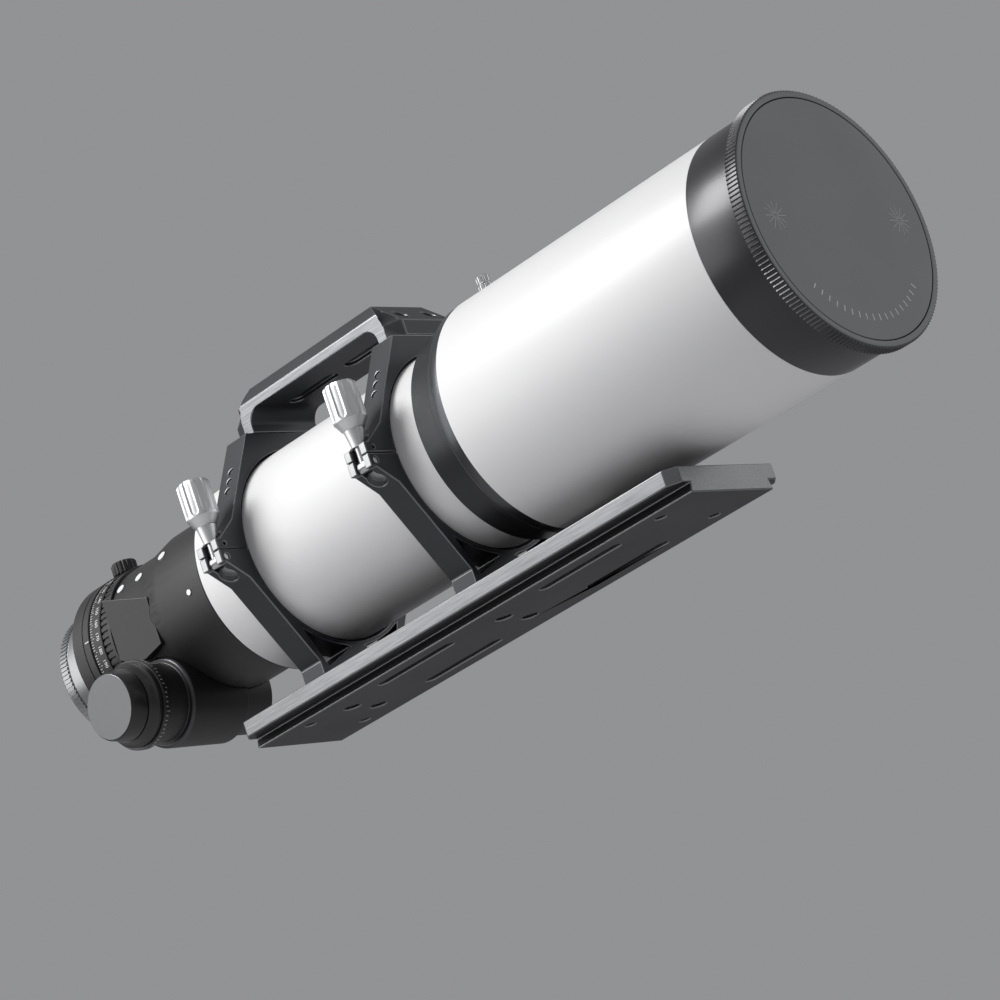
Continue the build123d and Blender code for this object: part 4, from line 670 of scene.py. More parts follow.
# ------------------------------------------------------------------------------- node-made repeats
class RoundRepeat:
    """A Geometry Nodes tree that sets blocks round an axis: knurls, ticks and ribs."""

    def __init__(self) -> None:
        """Builds the tree once."""
        tree = bpy.data.node_groups.new("round_repeat", "GeometryNodeTree")
        tree.is_modifier = True
        sides = tree.interface
        self.inputs: dict[str, str] = {}
        for name, kind, value in (
            ("Count", "NodeSocketInt", 36),
            ("Radius", "NodeSocketFloat", 0.05),
            ("Reach", "NodeSocketFloat", 0.0),
            ("Length", "NodeSocketFloat", 0.004),
            ("Width", "NodeSocketFloat", 0.001),
            ("Height", "NodeSocketFloat", 0.001),
            ("Start", "NodeSocketFloat", 0.0),
            ("Step", "NodeSocketFloat", 0.1),
            ("Tilt", "NodeSocketFloat", 0.0),
            ("Turn", "NodeSocketVector", (0.0, 0.0, 0.0)),
            ("Place", "NodeSocketVector", (0.0, 0.0, 0.0)),
        ):
            socket = sides.new_socket(name, in_out="INPUT", socket_type=kind)
            socket.default_value = value
            self.inputs[name] = socket.identifier
        material = sides.new_socket("Finish", in_out="INPUT", socket_type="NodeSocketMaterial")
        self.inputs["Finish"] = material.identifier
        sides.new_socket("Geometry", in_out="OUTPUT", socket_type="NodeSocketGeometry")
        self.tree = tree
        self._wire()

    def _math(self, operation: str, first: object, second: object = None) -> bpy.types.NodeSocket:
        """A math node on two sockets or numbers.

        Args:
            operation: the math operation.
            first: a socket or number.
            second: a socket or number.

        Returns:
            The node's output.
        """
        made = self.tree.nodes.new("ShaderNodeMath")
        made.operation = operation
        for slot_number, value in enumerate((first, second)):
            if value is None:
                continue
            if isinstance(value, (int, float)):
                made.inputs[slot_number].default_value = value
            else:
                self.tree.links.new(value, made.inputs[slot_number])
        return made.outputs[0]

    def _wire(self) -> None:
        """Wires the tree: points on a circle, a block on each, realised and given its finish."""
        nodes, links = self.tree.nodes, self.tree.links
        given = nodes.new("NodeGroupInput").outputs
        index = nodes.new("GeometryNodeInputIndex").outputs[0]
        angle = self._math("ADD", self._math("MULTIPLY", index, given["Step"]), given["Start"])
        spot = nodes.new("ShaderNodeCombineXYZ")
        links.new(given["Reach"], spot.inputs["X"])
        links.new(self._math("MULTIPLY", self._math("COSINE", angle), given["Radius"]), spot.inputs["Y"])
        links.new(self._math("MULTIPLY", self._math("SINE", angle), given["Radius"]), spot.inputs["Z"])
        points = nodes.new("GeometryNodePoints")
        links.new(given["Count"], points.inputs["Count"])
        links.new(spot.outputs[0], points.inputs["Position"])
        block = nodes.new("GeometryNodeMeshCube")
        size = nodes.new("ShaderNodeCombineXYZ")
        for socket, name in zip(size.inputs, ("Length", "Width", "Height")):
            links.new(given[name], socket)
        links.new(size.outputs[0], block.inputs["Size"])
        facing = nodes.new("ShaderNodeCombineXYZ")
        upright = self._math("SUBTRACT", angle, math.pi / 2)
        links.new(self._math("ADD", upright, given["Tilt"]), facing.inputs["X"])
        copies = nodes.new("GeometryNodeInstanceOnPoints")
        links.new(points.outputs[0], copies.inputs["Points"])
        links.new(block.outputs["Mesh"], copies.inputs["Instance"])
        links.new(facing.outputs[0], copies.inputs["Rotation"])
        placed = nodes.new("GeometryNodeTransform")
        links.new(copies.outputs[0], placed.inputs["Geometry"])
        links.new(given["Turn"], placed.inputs["Rotation"])
        links.new(given["Place"], placed.inputs["Translation"])
        real = nodes.new("GeometryNodeRealizeInstances")
        links.new(placed.outputs[0], real.inputs[0])
        dressed = nodes.new("GeometryNodeSetMaterial")
        links.new(real.outputs[0], dressed.inputs["Geometry"])
        links.new(given["Finish"], dressed.inputs["Material"])
        out = nodes.new("NodeGroupOutput")
        links.new(dressed.outputs[0], out.inputs[0])

    def make(
        self, name: str, finish: str, body: str, slot: str, count: int, radius: float,
        size: tuple[float, float, float], place: dict[str, object], start: float = 0.0,
        step: float | None = None, tilt: float = 0.0,
    ) -> None:
        """Runs the tree, and dresses and ties its result, a plain mesh at the origin.

        Args:
            name: the piece's name.
            finish: the name of its material.
            body: the body that it rides on.
            slot: the record's material slot; not used.
            count: number of blocks.
            radius: where the blocks' middles stand, in millimetres.
            size: a block's length, width and height in millimetres.
            place: the tree's inputs Reach, Turn and Place.
            start: angle of the first block in radians.
            step: angle between blocks, or None to share out the full turn.
            tilt: each block's turn about its own length.
        """
        seed = piece_from(bpy.data.meshes.new(name + "_seed"), name + "_seed")
        modifier = seed.modifiers.new("repeat", "NODES")
        modifier.node_group = self.tree
        length, width, height = (side * MM for side in size)
        values = {
            "Count": count, "Radius": radius * MM, "Length": length, "Width": width, "Height": height,
            "Start": start, "Step": FULL_TURN / count if step is None else step, "Tilt": tilt, **place,
            "Finish": FINISHES[finish],
        }
        for key, value in values.items():
            modifier[self.inputs[key]] = value
        seed.update_tag()
        graph = bpy.context.evaluated_depsgraph_get()
        graph.update()
        mesh = bpy.data.meshes.new_from_object(seed.evaluated_get(graph))
        bpy.data.objects.remove(seed)
        settle(piece_from(mesh, name), body, [finish])


def round_the_tube(reach: float) -> dict[str, object]:
    """Tree inputs that set a repeat round the optical axis at a place."""
    return {"Reach": reach, "Place": (0.0, 0.0, AXIS_HEIGHT)}


def round_the_pinion(reach: float) -> dict[str, object]:
    """Tree inputs that set a repeat round the pinion shaft at a reach towards -Y."""
    return {"Reach": reach, "Turn": (0.0, 0.0, -math.pi / 2), "Place": tuple(PINION)}


def numerals(
    name: str, labels: list[str], axis: TurnAxis, reach: float, radius: float, height: float, start: float,
    step: float,
) -> bpy.types.Object:
    """Sets short numbers round a cylinder.

    Args:
        name: the piece's name.
        labels: the numbers in order.
        axis: the cylinder's axis.
        reach: where the middle of the numbers stands along the axis.
        radius: the cylinder's radius.
        height: the numbers' height.
        start: angle of the first number in radians.
        step: angle between numbers.

    Returns:
        The piece, not yet dressed.
    """
    shape = bmesh.new()
    for i, label in enumerate(labels):
        curve = bpy.data.curves.new("label", "FONT")
        curve.body = label
        curve.size = height / CAP_HEIGHT_SHARE
        curve.align_x = "CENTER"
        curve.align_y = "CENTER"
        curve.resolution_u = 3
        curve.extrude = 0.00003
        holder = bpy.data.objects.new("label", curve)
        bpy.context.scene.collection.objects.link(holder)
        graph = bpy.context.evaluated_depsgraph_get()
        mesh = bpy.data.meshes.new_from_object(holder.evaluated_get(graph))
        for vertex in mesh.vertices:
            across, up, out = vertex.co
            vertex.co = axis.place(reach + up, radius + out, start + step * i + across / radius)
        shape.from_mesh(mesh)
        bpy.data.objects.remove(holder)
        bpy.data.meshes.remove(mesh)
    joined = bpy.data.meshes.new(name)
    bmesh.ops.recalc_face_normals(shape, faces=shape.faces[:])
    shape.to_mesh(joined)
    shape.free()
    return piece_from(joined, name)


# ------------------------------------------------------------------------------- sub-assemblies
@dataclass
class OpticalTube:
    """The white tube, its bevelled end ring and the collar that the dew shield slides on."""

    tube_r: float = 67.1
    bore_r: float = 64.6
    rear: float = -178.0
    front: float = 150.0
    collar: tuple[float, float, float, float] = (46.5, 65.0, 130.0, 76.3)
    collar_rear_r: float = 73.8

    def build(self) -> None:
        """Makes the tube, end ring and collar."""
        wall = [
            (self.rear, self.bore_r), (self.rear, self.tube_r), (self.front, self.tube_r),
            (self.front, self.bore_r),
        ]
        turned_piece(
            "white_tube", wall, "main_tube", "tube_assembly", "satin_white_coat", "satin_white",
            rounding=0.0004
        )
        end = [
            (-184.0, 54.5), (-168.0, 54.5), (-168.0, 64.58), (-178.0, 64.58), (-178.0, 67.1), (-178.6, 67.1),
            (-184.0, 62.1),
        ]
        turned_piece(
            "bevelled_end_ring", end, "tube_end_ring", "tube_assembly", "dark_anodised_turned", "matte_black",
            rounding=0.0003,
        )
        rear, step, front, radius = self.collar
        inner = self.tube_r + 0.02
        steps = [
            (rear, inner), (rear, self.collar_rear_r - 1.2), (rear + 1.2, self.collar_rear_r),
            (step - 0.3, self.collar_rear_r), (step, radius), (front, radius), (front, inner),
        ]
        turned_piece(
            "stepped_collar", steps, "shield_collar", "tube_assembly", "dark_anodised_turned", "dark_grey",
            rounding=0.0003,
        )


@dataclass
class DewShield:
    """The sliding white shield with its black front band, rear ring and lock thumbscrew."""

    radius: float = 80.5
    bore: float = 78.0
    rear: float = 79.0
    front: float = 300.0
    band_front: float = 335.0
    band_bore: float = 76.6

    def build(self) -> None:
        """Makes the shield's pieces."""
        wall = [(self.rear, self.bore), (self.rear, self.radius), (self.front, self.radius),
                (self.front, self.bore)]
        turned_piece(
            "white_dew_shield", wall, "dew_shield", "dew_shield", "satin_white_coat", "satin_white",
            rounding=0.0003
        )
        inset, seat_r = self.front - 8.0, self.bore - 0.02
        band = [
            (inset, self.band_bore), (inset, seat_r), (self.front, seat_r), (self.front, self.radius),
            (self.band_front, self.radius), (self.band_front, self.band_bore),
        ]
        turned_piece(
            "black_front_band", band, "dew_shield_front_band", "dew_shield", "gloss_black_band",
            "gloss_black", rounding=0.0003,
        )
        self.rear_ring()
        self.lock_screw()

    def rear_ring(self) -> None:
        """Makes the ring at the shield's rear end, dark, with a painted highlight on its rear chamfer."""
        ring = mm([
            (71.0, 76.6), (71.0, 79.1), (71.8, 80.0), (72.2, 80.2), (78.7, 80.2), (79.0, 79.9), (79.0, 77.98),
            (87.0, 77.98), (87.0, 76.6),
        ])
        piece = piece_from(turned_mesh(ring, TUBE_AXIS, TUBE_STEPS), "shield_rear_ring")
        # The rear chamfer faces take the bright second finish: a painted highlight.
        repaint(piece, 1, lambda middle, normal: middle.x < 0.0722 and -0.95 < normal.x < -0.2)
        settle(piece, "dew_shield", ["rear_ring_dark", "chamfer_bright"],
               ("dew_shield_rear_ring",))

    def lock_screw(self) -> None:
        """Makes the knurled thumbscrew on top of the rear ring."""
        profile = [
            (76.6, 0), (76.6, 2.0), (80.4, 2.0), (80.4, 2.8), (84.4, 2.8), (84.4, 4.2), (84.9, 4.6),
            (88.6, 4.6),
            (89.0, 3.9), (89.8, 3.9), (90.2, 4.6), (94.2, 4.6), (95.0, 3.8), (95.0, 0),
        ]
        turned_piece(
            "shield_thumbscrew", profile, "dew_shield_lock_screw", "dew_lock", "knob_silver", "bright_steel",
            radial_axis(0.075, 90), 144, flutes=Flutes(24, 0.00035, 0.0848, 0.0944, 0.6),
        )


@dataclass
class FrontCap:
    """The cap ring with its knurled rim, and the grey cover disc set in it."""

    seat: float = 335.2
    front: float = 344.2
    rim_r: float = 84.2
    cover_r: float = 78.7
    knurls: int = 180
    arc_lines: int = 18
    star_lines: int = 12

    def build(self, repeat: RoundRepeat) -> None:
        """Makes the ring, knurls and disc.

        Args:
            repeat: the tree that sets the knurls.
        """
        body = mm([
            (self.seat, 74.1), (self.seat - 12.0, 74.1), (self.seat - 12.0, 76.3), (self.seat, 76.3),
            (self.seat, self.rim_r - 1.3), (self.seat + 0.4, self.rim_r - 0.9),
            (self.front - 0.5, self.rim_r - 0.9),
            (self.front, self.rim_r - 1.4), (self.front, self.cover_r + 0.5),
            (self.front - 0.3, self.cover_r + 0.3),
            (self.seat + 6.0, self.cover_r + 0.3), (self.seat + 6.0, 71.2), (self.seat, 71.2),
        ])
        ring = piece_from(turned_mesh(softened(body, 0.0002, 2), TUBE_AXIS, TUBE_STEPS), "cap_ring_turned")
        front = (self.front - 0.4) * MM
        repaint(ring, 1, lambda middle, normal: middle.x > front and normal.x > 0.4)
        settle(ring, "front_cap", ["gloss_black_band", "cover_disc_grey"], ("cap_ring",))
        middle = round_the_tube((self.seat + self.front) / 2 * MM - 0.0001)
        repeat.make(
            "cap_rim_knurls", "gloss_black_band", "front_cap", "gloss_black", self.knurls, self.rim_r - 1.0,
            (8.2, 1.05, 1.05), middle, tilt=math.pi / 4,
        )
        self.cover()
        self.marks(repeat)

    def cover(self) -> None:
        """Makes the cover disc, flat and all but flush with the ring."""
        face = self.front - 0.05
        disc = [
            (face - 6.45, 0), (face - 6.45, 70.9), (face - 2.75, 70.9), (face - 2.75, self.cover_r),
            (face - 0.4, self.cover_r), (face, self.cover_r - 0.4), (face, 0),
        ]
        turned_piece(
            "cover_disc_turned", disc, "cap_cover_disc", "cap_cover", "cover_disc_grey", "cover_grey"
        )

    def marks(self, repeat: RoundRepeat) -> None:
        """Prints plain marks on the cover: an arc of short lines and a starburst on each side.

        Args:
            repeat: the tree that sets the lines.
        """
        face = round_the_tube((self.front - 0.03) * MM)
        dress = ("cover_mark_grey", "cap_cover", "cover_grey")
        repeat.make(
            "cover_printed_arc", *dress, self.arc_lines, 64.0, (0.04, 0.8, 4.2), face, math.radians(224),
            math.radians(5.5),
        )
        for name, side in (("near", -58.0), ("far", 58.0)):
            face["Place"] = (0.0, side * MM, AXIS_HEIGHT)
            repeat.make(f"cover_starburst_{name}", *dress, self.star_lines, 5.2, (0.04, 0.22, 8.0), face)


@dataclass
class TubeRings:
    """Both clamshell rings, with their edge breaks painted a lighter grey as painted highlights, and their
    fluted clamp knobs.
    """

    places: dict[str, float] = field(default_factory=lambda: {"front": 10.7, "rear": -137.0})
    stud_y: float = -88.5
    scoop_y: float = -82.5
    scoop_z: float = -14.7
    scoop_out: tuple[float, float] = (-0.580, -0.814)

    def build(self) -> None:
        """Makes both halves of each ring and the clamp knobs."""
        coats = ["ring_dark_coat", "ring_edge", "machined_bright"]
        for name, middle in self.places.items():
            for half, part, body in (("upper", "top", "upper_rings"), ("lower", "base", "tube_assembly")):
                # Edge breaks take the second finish, a lighter grey that is a painted highlight.
                ring = bevelled_copy(f"{half}_ring_{name}", f"ring_{part}_{name}", 0.0007)
                repaint(ring, 2, self.lug_end)
                if half == "lower":
                    repaint(ring, 2, self.scoop_wall)
                settle(ring, body, coats, (f"{half}_ring_{name}",))
            self.knob(name, middle)

    def lug_end(self, middle: Vector, normal: Vector) -> bool:
        """Whether a face is one of the bare ends of a clamp lug."""
        return middle.y < -0.0935 and normal.y < -0.9

    def scoop_wall(self, middle: Vector, normal: Vector) -> bool:
        """Whether a face is inside the round relief cut under a lower lug."""
        for place in self.places.values():
            out = Vector((0.0, *self.scoop_out))
            reach = middle - Vector((place * MM, self.scoop_y * MM, AXIS_HEIGHT + self.scoop_z * MM))
            depth = -reach.dot(out)
            if 0.0002 < depth < 0.0048 and (reach + out * depth).length < 0.0062:
                return normal.dot(out) > -0.5
        return False

    def knob(self, name: str, middle: float) -> None:
        """Makes one clamp knob.

        Args:
            name: front or rear.
            middle: the ring's middle along the tube, in millimetres.
        """
        stud = (middle * MM, self.stud_y * MM, AXIS_HEIGHT)
        profile = [
            (7.55, 4.0), (7.55, 4.7), (7.9, 5.0), (9.6, 5.1), (19.2, 6.6), (19.9, 7.6), (24.6, 10.2),
            (25.4, 10.9),
            *((reach, 11.0) for reach in (26.2, 26.5, 26.9, 27.4, 28.0, 29.0, 30.2, 47.6)),
            (48.2, 10.9), (49.6, 10.3), (50.3, 9.2), (50.55, 8.2), (50.55, 5.2), (50.2, 4.8), (50.2, 0),
            (15.5, 0),
            (15.5, 4.0),
        ]
        finish = Finish(
            f"knob_silver_{name}", (0.76, 0.765, 0.77), 0.44, 1.0, Grain.TURNED_ABOUT_UPRIGHT, 2600, 0.000005,
            0.05, 0.06, turn_centre=stud,
        )
        FINISHES.made[finish.name] = finish.build()
        turned_piece(
            f"clamp_knob_turned_{name}", profile, f"clamp_knob_{name}", f"{name}_clamp", finish.name,
            "bright_steel", TurnAxis(Vector(stud), Vector((0, 0, 1)), Vector((1, 0, 0))), 288,
            flutes=Flutes(8, 0.0009, 0.0262, 0.0497, 0.70, 0.0032, 2.4),
        )


@dataclass
class HandleAndPlate:
    """The carry handle and the dovetail plate, cut from bar with brushed flats, their edge breaks painted a
    lighter grey as painted highlights.
    """

    def build(self) -> None:
        """Makes both pieces."""
        handle = bevelled_copy("carry_handle", "handle_bar", 0.0007)
        repaint(handle, 2, lambda middle, normal: abs(normal.y) > 0.98 and abs(middle.y) > 0.0290)
        # The edge breaks take the lighter second finish: a painted highlight.
        coats = ["ring_dark_coat", "ring_edge", "plate_brushed"]
        settle(handle, "upper_rings", coats, ("carry_handle",))
        plate = bevelled_copy("dovetail_plate", "dovetail_bar", 0.0009)
        repaint(plate, 2, lambda middle, normal: abs(normal.z) < 0.1 and middle.z > 0.0065)
        settle(plate, "tube_assembly", ["plate_black", *coats[1:]], ("dovetail_plate",))


@dataclass
class FocuserHousing:
    """The black housing with its pinion boss, side panel and bright screws."""

    pieces: tuple[tuple[str, str, float, float], ...] = (
        ("focuser_housing", "housing_turned", 0.0005, 40.0),
        ("focus_drive_block", "pinion_boss", 0.0006, 30.0),
        ("housing_side_panel", "side_panel_cover", 0.0006, 25.0),
    )

    def build(self) -> None:
        """Makes the housing, the pinion boss and the panel."""
        for node, name, width, degrees in self.pieces:
            piece = bevelled_copy(node, name, width, degrees=degrees)
            if node == "focus_drive_block":
                repaint(piece, 1, self.flange_edge)
            # Edge breaks, and the boss's flange chamfer, take a lighter grey as a painted highlight.
            settle(piece, "tube_assembly", ["matte_black_coat", "worn_edge"], (node,))

    @staticmethod
    def flange_edge(middle: Vector, normal: Vector) -> bool:
        """Whether a face is on the chamfer of the boss's flange, painted a lighter grey as a painted
        highlight.
        """
        return -0.0502 < middle.y < -0.0484 and -0.9 < normal.y < -0.3


@dataclass
class FocusKnobs:
    """The marked dial, the coarse knob and the fine knob with its grey face."""

    dial_marks: int = 60

    def build(self, repeat: RoundRepeat) -> None:
        """Makes the knobs and marks.

        Args:
            repeat: the tree that sets the dial's marks.
        """
        dial = [
            (69.4, 2.52), (69.4, 28.6), (69.9, 29.5), (70.5, 29.94), (74.7, 29.94), (75.18, 29.5),
            (75.18, 2.52),
        ]
        turned = {"axis": PINION_AXIS, "segments": KNOB_STEPS}
        turned_piece("dial_turned", dial, "focus_dial", "coarse_focus", "knob_black", "matte_black", **turned)
        for name, count, length in (
            ("dial_marks_fine", self.dial_marks, 1.6), ("dial_marks_long", self.dial_marks // 5, 2.8),
        ):
            repeat.make(
                name, "mark_white", "coarse_focus", "matte_black", count, 29.95, (length, 0.35, 0.06),
                round_the_pinion((73.6 - length / 2) * MM),
            )
        coarse = [
            (75.2, 2.52), (75.2, 27.7), (75.7, 28.2), (78.0, 28.2), (78.6, 27.7), (79.4, 26.4), (80.4, 25.9),
            (83.2, 24.6), (83.8, 24.1), (83.8, 2.52),
        ]
        turned_piece(
            "coarse_knob_turned", coarse, "coarse_focus_knob", "coarse_focus", "knob_black", "bakelite",
            PINION_AXIS, 288, flutes=Flutes(72, 0.0004, 0.0758, 0.0779, 0.55),
        )
        fine = [
            (84.1, 1.52), (84.1, 23.0), (84.6, 23.6), (85.4, 23.5), (95.4, 22.5), (96.1, 22.2), (96.5, 21.75),
            (96.5, 1.52),
        ]
        turned_piece("fine_knob_turned", fine, "fine_focus_knob", "fine_focus", "knob_black", "bakelite",
                     **turned)
        disc = [(96.52, 0), (96.52, 21.5), (96.9, 21.6), (97.1, 21.3), (97.12, 0)]
        turned_piece(
            "face_disc_turned", disc, "knob_face_disc", "fine_focus", "disc_satin_grey", "plate_grey",
            **turned
        )


@dataclass
class CameraRotator:
    """The castellated base, the numbered scale ring, the rotator body, its back and screws."""

    scale_r: float = 56.2
    scale_rear: float = -307.1
    scale_front: float = -295.5
    back_ribs: int = 96

    def build(self, repeat: RoundRepeat) -> None:
        """Makes all rotator pieces.

        Args:
            repeat: the tree that sets ticks and ribs.
        """
        base = bevelled_copy("rotator_base", "castellated_base", 0.0004)
        # The base's edge breaks take the lighter ring coat: a painted highlight.
        settle(base, "tube_assembly", ["matte_black_coat", "ring_dark_coat"],
               ("rotator_base",))
        rear, front, outer = self.scale_rear, self.scale_front, self.scale_r
        ring = [
            (rear, 50.05), (rear, outer - 0.4), (rear + 0.5, outer), (front - 0.5, outer),
            (front, outer - 0.4),
            (front, 50.05),
        ]
        turned_piece(
            "scale_ring_turned", ring, "rotator_scale_ring", "tube_assembly", "matte_black_coat",
            "matte_black"
        )
        for name, count, length in (("scale_ticks_fine", 180, 2.0), ("scale_ticks_long", 36, 3.4)):
            repeat.make(
                name, "mark_white", "tube_assembly", "matte_black", count, outer + 0.01, (length, 0.32, 0.06),
                round_the_tube((rear + 0.8 + length / 2) * MM),
            )
        labels = [str(10 * i) for i in range(36)]
        numbers = numerals(
            "scale_numbers", labels, TUBE_AXIS, (front - 4.0) * MM, outer * MM, 3.0 * MM, 0.0,
            math.radians(10)
        )
        settle(numbers, "tube_assembly", ["mark_white"])
        self.rotating_body(repeat)

    def rotating_body(self, repeat: RoundRepeat) -> None:
        """Makes the pieces that turn: body, index mark, lock knob, silver back and its screws.

        Args:
            repeat: the tree that sets ribs.
        """
        black = ("matte_black_coat", "matte_black")
        body = [
            (-307.4, 50.3), (-307.4, 56.5), (-307.9, 57.0), (-313.2, 57.0), (-313.5, 56.5), (-314.3, 56.5),
            (-314.6, 57.0), (-325.0, 57.0), (-328.0, 54.0), (-328.0, 36.0), (-323.0, 36.0), (-323.0, 52.5),
            (-315.9, 52.5), (-315.9, 50.3),
        ]
        turned_piece("rotator_body_turned", body, "rotator_body", "rotator", *black)
        repeat.make(
            "rotator_index_mark", "mark_white", "rotator", "matte_black", 1, 57.0, (4.0, 0.7, 0.08),
            round_the_tube(-310.3 * MM), math.radians(170), 0.0,
        )
        repeat.make(
            "rotator_grip_ribs", "matte_black_coat", "rotator", "matte_black", 60, 56.85, (8.0, 2.2, 0.3),
            round_the_tube(-319.8 * MM),
        )
        lock = [
            (50.3, 0), (50.3, 2.0), (57.2, 2.0), (57.2, 2.8), (58.4, 2.8), (58.4, 8.4), (59.0, 9.0),
            (66.0, 9.0),
            (67.0, 8.2), (67.4, 7.0), (67.4, 0),
        ]
        turned_piece(
            "rotator_lock_turned", lock, "rotator_lock_knob", "rotator_lock", *black, radial_axis(-0.312, 90),
            KNOB_STEPS, flutes=Flutes(18, 0.0008, 0.0586, 0.0668, 0.6),
        )
        self.silver_back(repeat)

    def silver_back(self, repeat: RoundRepeat) -> None:
        """Makes the silver back with its two rows of ribs and its thumbscrews.

        Args:
            repeat: the tree that sets ribs.
        """
        back = [
            (-323.2, 25.45), (-323.2, 35.98), (-328.02, 35.98), (-328.02, 45.2), (-328.6, 45.8),
            (-345.4, 45.8),
            (-345.8, 45.2), (-346.6, 45.2), (-347.0, 45.8), (-354.0, 45.8), (-356.0, 44.5), (-356.0, 33.5),
            (-348.0, 33.5), (-348.0, 25.45),
        ]
        turned_piece("silver_back_turned", back, "visual_back", "rotator", "back_silver", "silver")
        for name, middle, length in (("back_ribs_front", -331.2, 4.4), ("back_ribs_rear", -350.5, 6.4)):
            repeat.make(
                name, "back_silver", "rotator", "silver", self.back_ribs, 45.9, (length, 1.5, 1.1),
                round_the_tube(middle * MM),
            )
        screw = [
            (25.65, 0), (25.65, 2.0), (46.7, 2.0), (46.7, 2.8), (50.2, 2.8), (50.2, 7.0), (50.8, 7.5),
            (62.3, 7.5),
            (63.2, 6.6), (63.2, 0),
        ]
        for side, degrees in (("upper", 20), ("lower", 320)):
            turned_piece(
                f"back_thumbscrew_{side}", screw, f"back_screw_{side}", f"back_screw_{side}", "steel_bright",
                "bright_steel", radial_axis(-0.338, degrees), 160,
                flutes=Flutes(20, 0.0006, 0.0507, 0.0624, 0.55),
            )


@dataclass
class CarriedNodes:
    """The CAD nodes that stay as they are and only take a finish."""

    nodes: dict[str, tuple[str, ...]] = field(
        default_factory=lambda: {
            "steel_bright": (
                "ring_foot_screws", "ring_hinge_pins", "clamp_studs", "clamp_stud_pins", "focus_guide_rods",
                "handle_screws", "focus_rack", "pinion_shaft", "fine_drive_shaft",
            ),
            "steel_dark": ("ring_set_screws",),
            "screw_satin": ("housing_screws",),
            "bush_brass": ("pinion_bushes",),
            "black_felt": ("lower_ring_felts", "upper_ring_felts", "dew_shield_felt"),
            "mask_black_sheet": ("diffraction_mask",),
            "matte_black_coat": (
                "tube_baffles", "objective_cell", "lens_spacers", "objective_retaining_ring",
                "rotator_retainer",
                "focus_carriage", "corrector_rings",
            ),
            "coated_glass": (
                "objective_lens_rear", "objective_lens_middle", "objective_lens_front",
                "corrector_lens_front",
                "corrector_lens_rear",
            ),
        }
    )

    def dress(self) -> None:
        """Gives each node its material."""
        for finish, nodes in self.nodes.items():
            for node in nodes:
                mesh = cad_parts[node].data
                mesh.materials.clear()
                mesh.materials.append(FINISHES[finish])
                LOG.info("%s: %s", node, finish)


@dataclass(frozen=True)
class Softbox:
    """A square soft light.

    Attributes:
        name: the light's name.
        place: where it stands.
        size: side length in metres.
        power: watts.
    """

    name: str
    place: tuple[float, float, float]
    size: float
    power: float


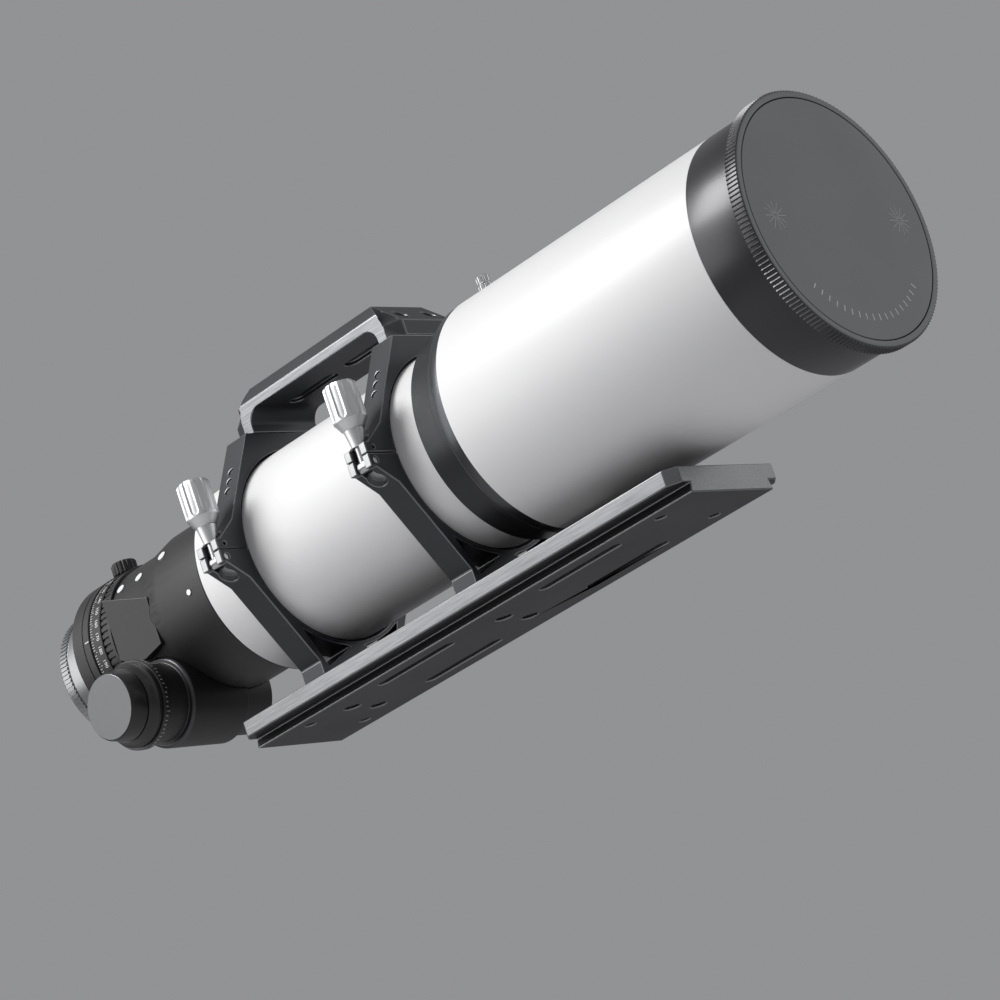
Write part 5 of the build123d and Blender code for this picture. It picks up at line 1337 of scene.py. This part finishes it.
@dataclass
class Studio:
    """The pale floor, the soft lights and the camera."""

    camera_place: tuple[float, float, float] = (1.635, -1.872, -0.5975)
    azimuth: float = 40.63
    elevation: float = -15.19
    roll: float = -19.02
    lens: float = 146.8
    floor: float = -0.95
    backdrop: Colour = (0.60, 0.605, 0.62)
    backdrop_strength: float = 0.48
    floor_half: float = 30.0
    softboxes: tuple[Softbox, ...] = (
        Softbox("side_softbox", (-1.45, -1.68, 0.71), 1.5, 15.0),
        Softbox("upper_softbox", (-0.85, -1.35, 1.75), 1.0, 46.0),
        Softbox("far_softbox", (1.55, 1.78, 0.74), 1.2, 5.0),
    )

    def build(self) -> None:
        """Sets up the whole studio."""
        self.add_camera()
        self.add_floor()
        self.add_world()
        for softbox in self.softboxes:
            self.add_light(softbox)
        bpy.context.scene.view_settings.view_transform = "Standard"

    def add_camera(self) -> None:
        """Places the camera at its azimuth, elevation and roll."""
        a, e, r = (math.radians(v) for v in (self.azimuth, self.elevation, self.roll))
        back = Vector((math.sin(a) * math.cos(e), -math.cos(a) * math.cos(e), math.sin(e)))
        right = Vector((math.cos(a), math.sin(a), 0.0))
        up = back.cross(right)
        rolled_right = right * math.cos(r) + up * math.sin(r)
        rolled_up = up * math.cos(r) - right * math.sin(r)
        camera = bpy.data.objects.new("camera", bpy.data.cameras.new("camera"))
        bpy.context.scene.collection.objects.link(camera)
        turn = Matrix((rolled_right, rolled_up, back)).transposed()
        camera.matrix_world = Matrix.Translation(self.camera_place) @ turn.to_4x4()
        camera.data.lens = self.lens
        camera.data.sensor_width = 36.0
        camera.data.clip_end = 100.0
        bpy.context.scene.camera = camera

    def add_floor(self) -> None:
        """Lays the pale floor well below the object."""
        mesh = bpy.data.meshes.new("floor")
        half = self.floor_half
        corners = [(x * half, y * half, self.floor) for x, y in ((-1, -1), (1, -1), (1, 1), (-1, 1))]
        mesh.from_pydata(corners, [], [(0, 1, 2, 3)])
        floor = piece_from(mesh, "pale_floor")
        material = bpy.data.materials.new("floor_paper")
        material.use_nodes = True
        shader = material.node_tree.nodes["Principled BSDF"]
        shader.inputs["Base Color"].default_value = (0.62, 0.62, 0.63, 1.0)
        shader.inputs["Roughness"].default_value = 0.9
        mesh.materials.append(material)

    def add_world(self) -> None:
        """Sets the pale, even surroundings."""
        world = bpy.data.worlds.new("pale_surround")
        world.use_nodes = True
        background = world.node_tree.nodes["Background"]
        background.inputs["Color"].default_value = (*self.backdrop, 1.0)
        background.inputs["Strength"].default_value = self.backdrop_strength
        bpy.context.scene.world = world

    def add_light(self, softbox: Softbox) -> None:
        """Adds one softbox that points at the middle of the object."""
        data = bpy.data.lights.new(softbox.name, "AREA")
        data.size = softbox.size
        data.energy = softbox.power
        light = bpy.data.objects.new(softbox.name, data)
        bpy.context.scene.collection.objects.link(light)
        light.location = softbox.place
        light.rotation_mode = "QUATERNION"
        sight = Vector((0.0, 0.0, AXIS_HEIGHT)) - Vector(softbox.place)
        light.rotation_quaternion = sight.to_track_quat("-Z", "Y")


def main() -> None:
    """Builds every sub-assembly in order, then the studio."""
    logging.basicConfig(level=logging.INFO, format="%(message)s")
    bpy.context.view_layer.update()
    Studio().build()
    FINISHES.build()
    repeat = RoundRepeat()
    CarriedNodes().dress()
    OpticalTube().build()
    DewShield().build()
    FrontCap().build(repeat)
    TubeRings().build()
    HandleAndPlate().build()
    FocuserHousing().build()
    FocusKnobs().build(repeat)
    CameraRotator().build(repeat)


if __name__ == "__main__":
    main()
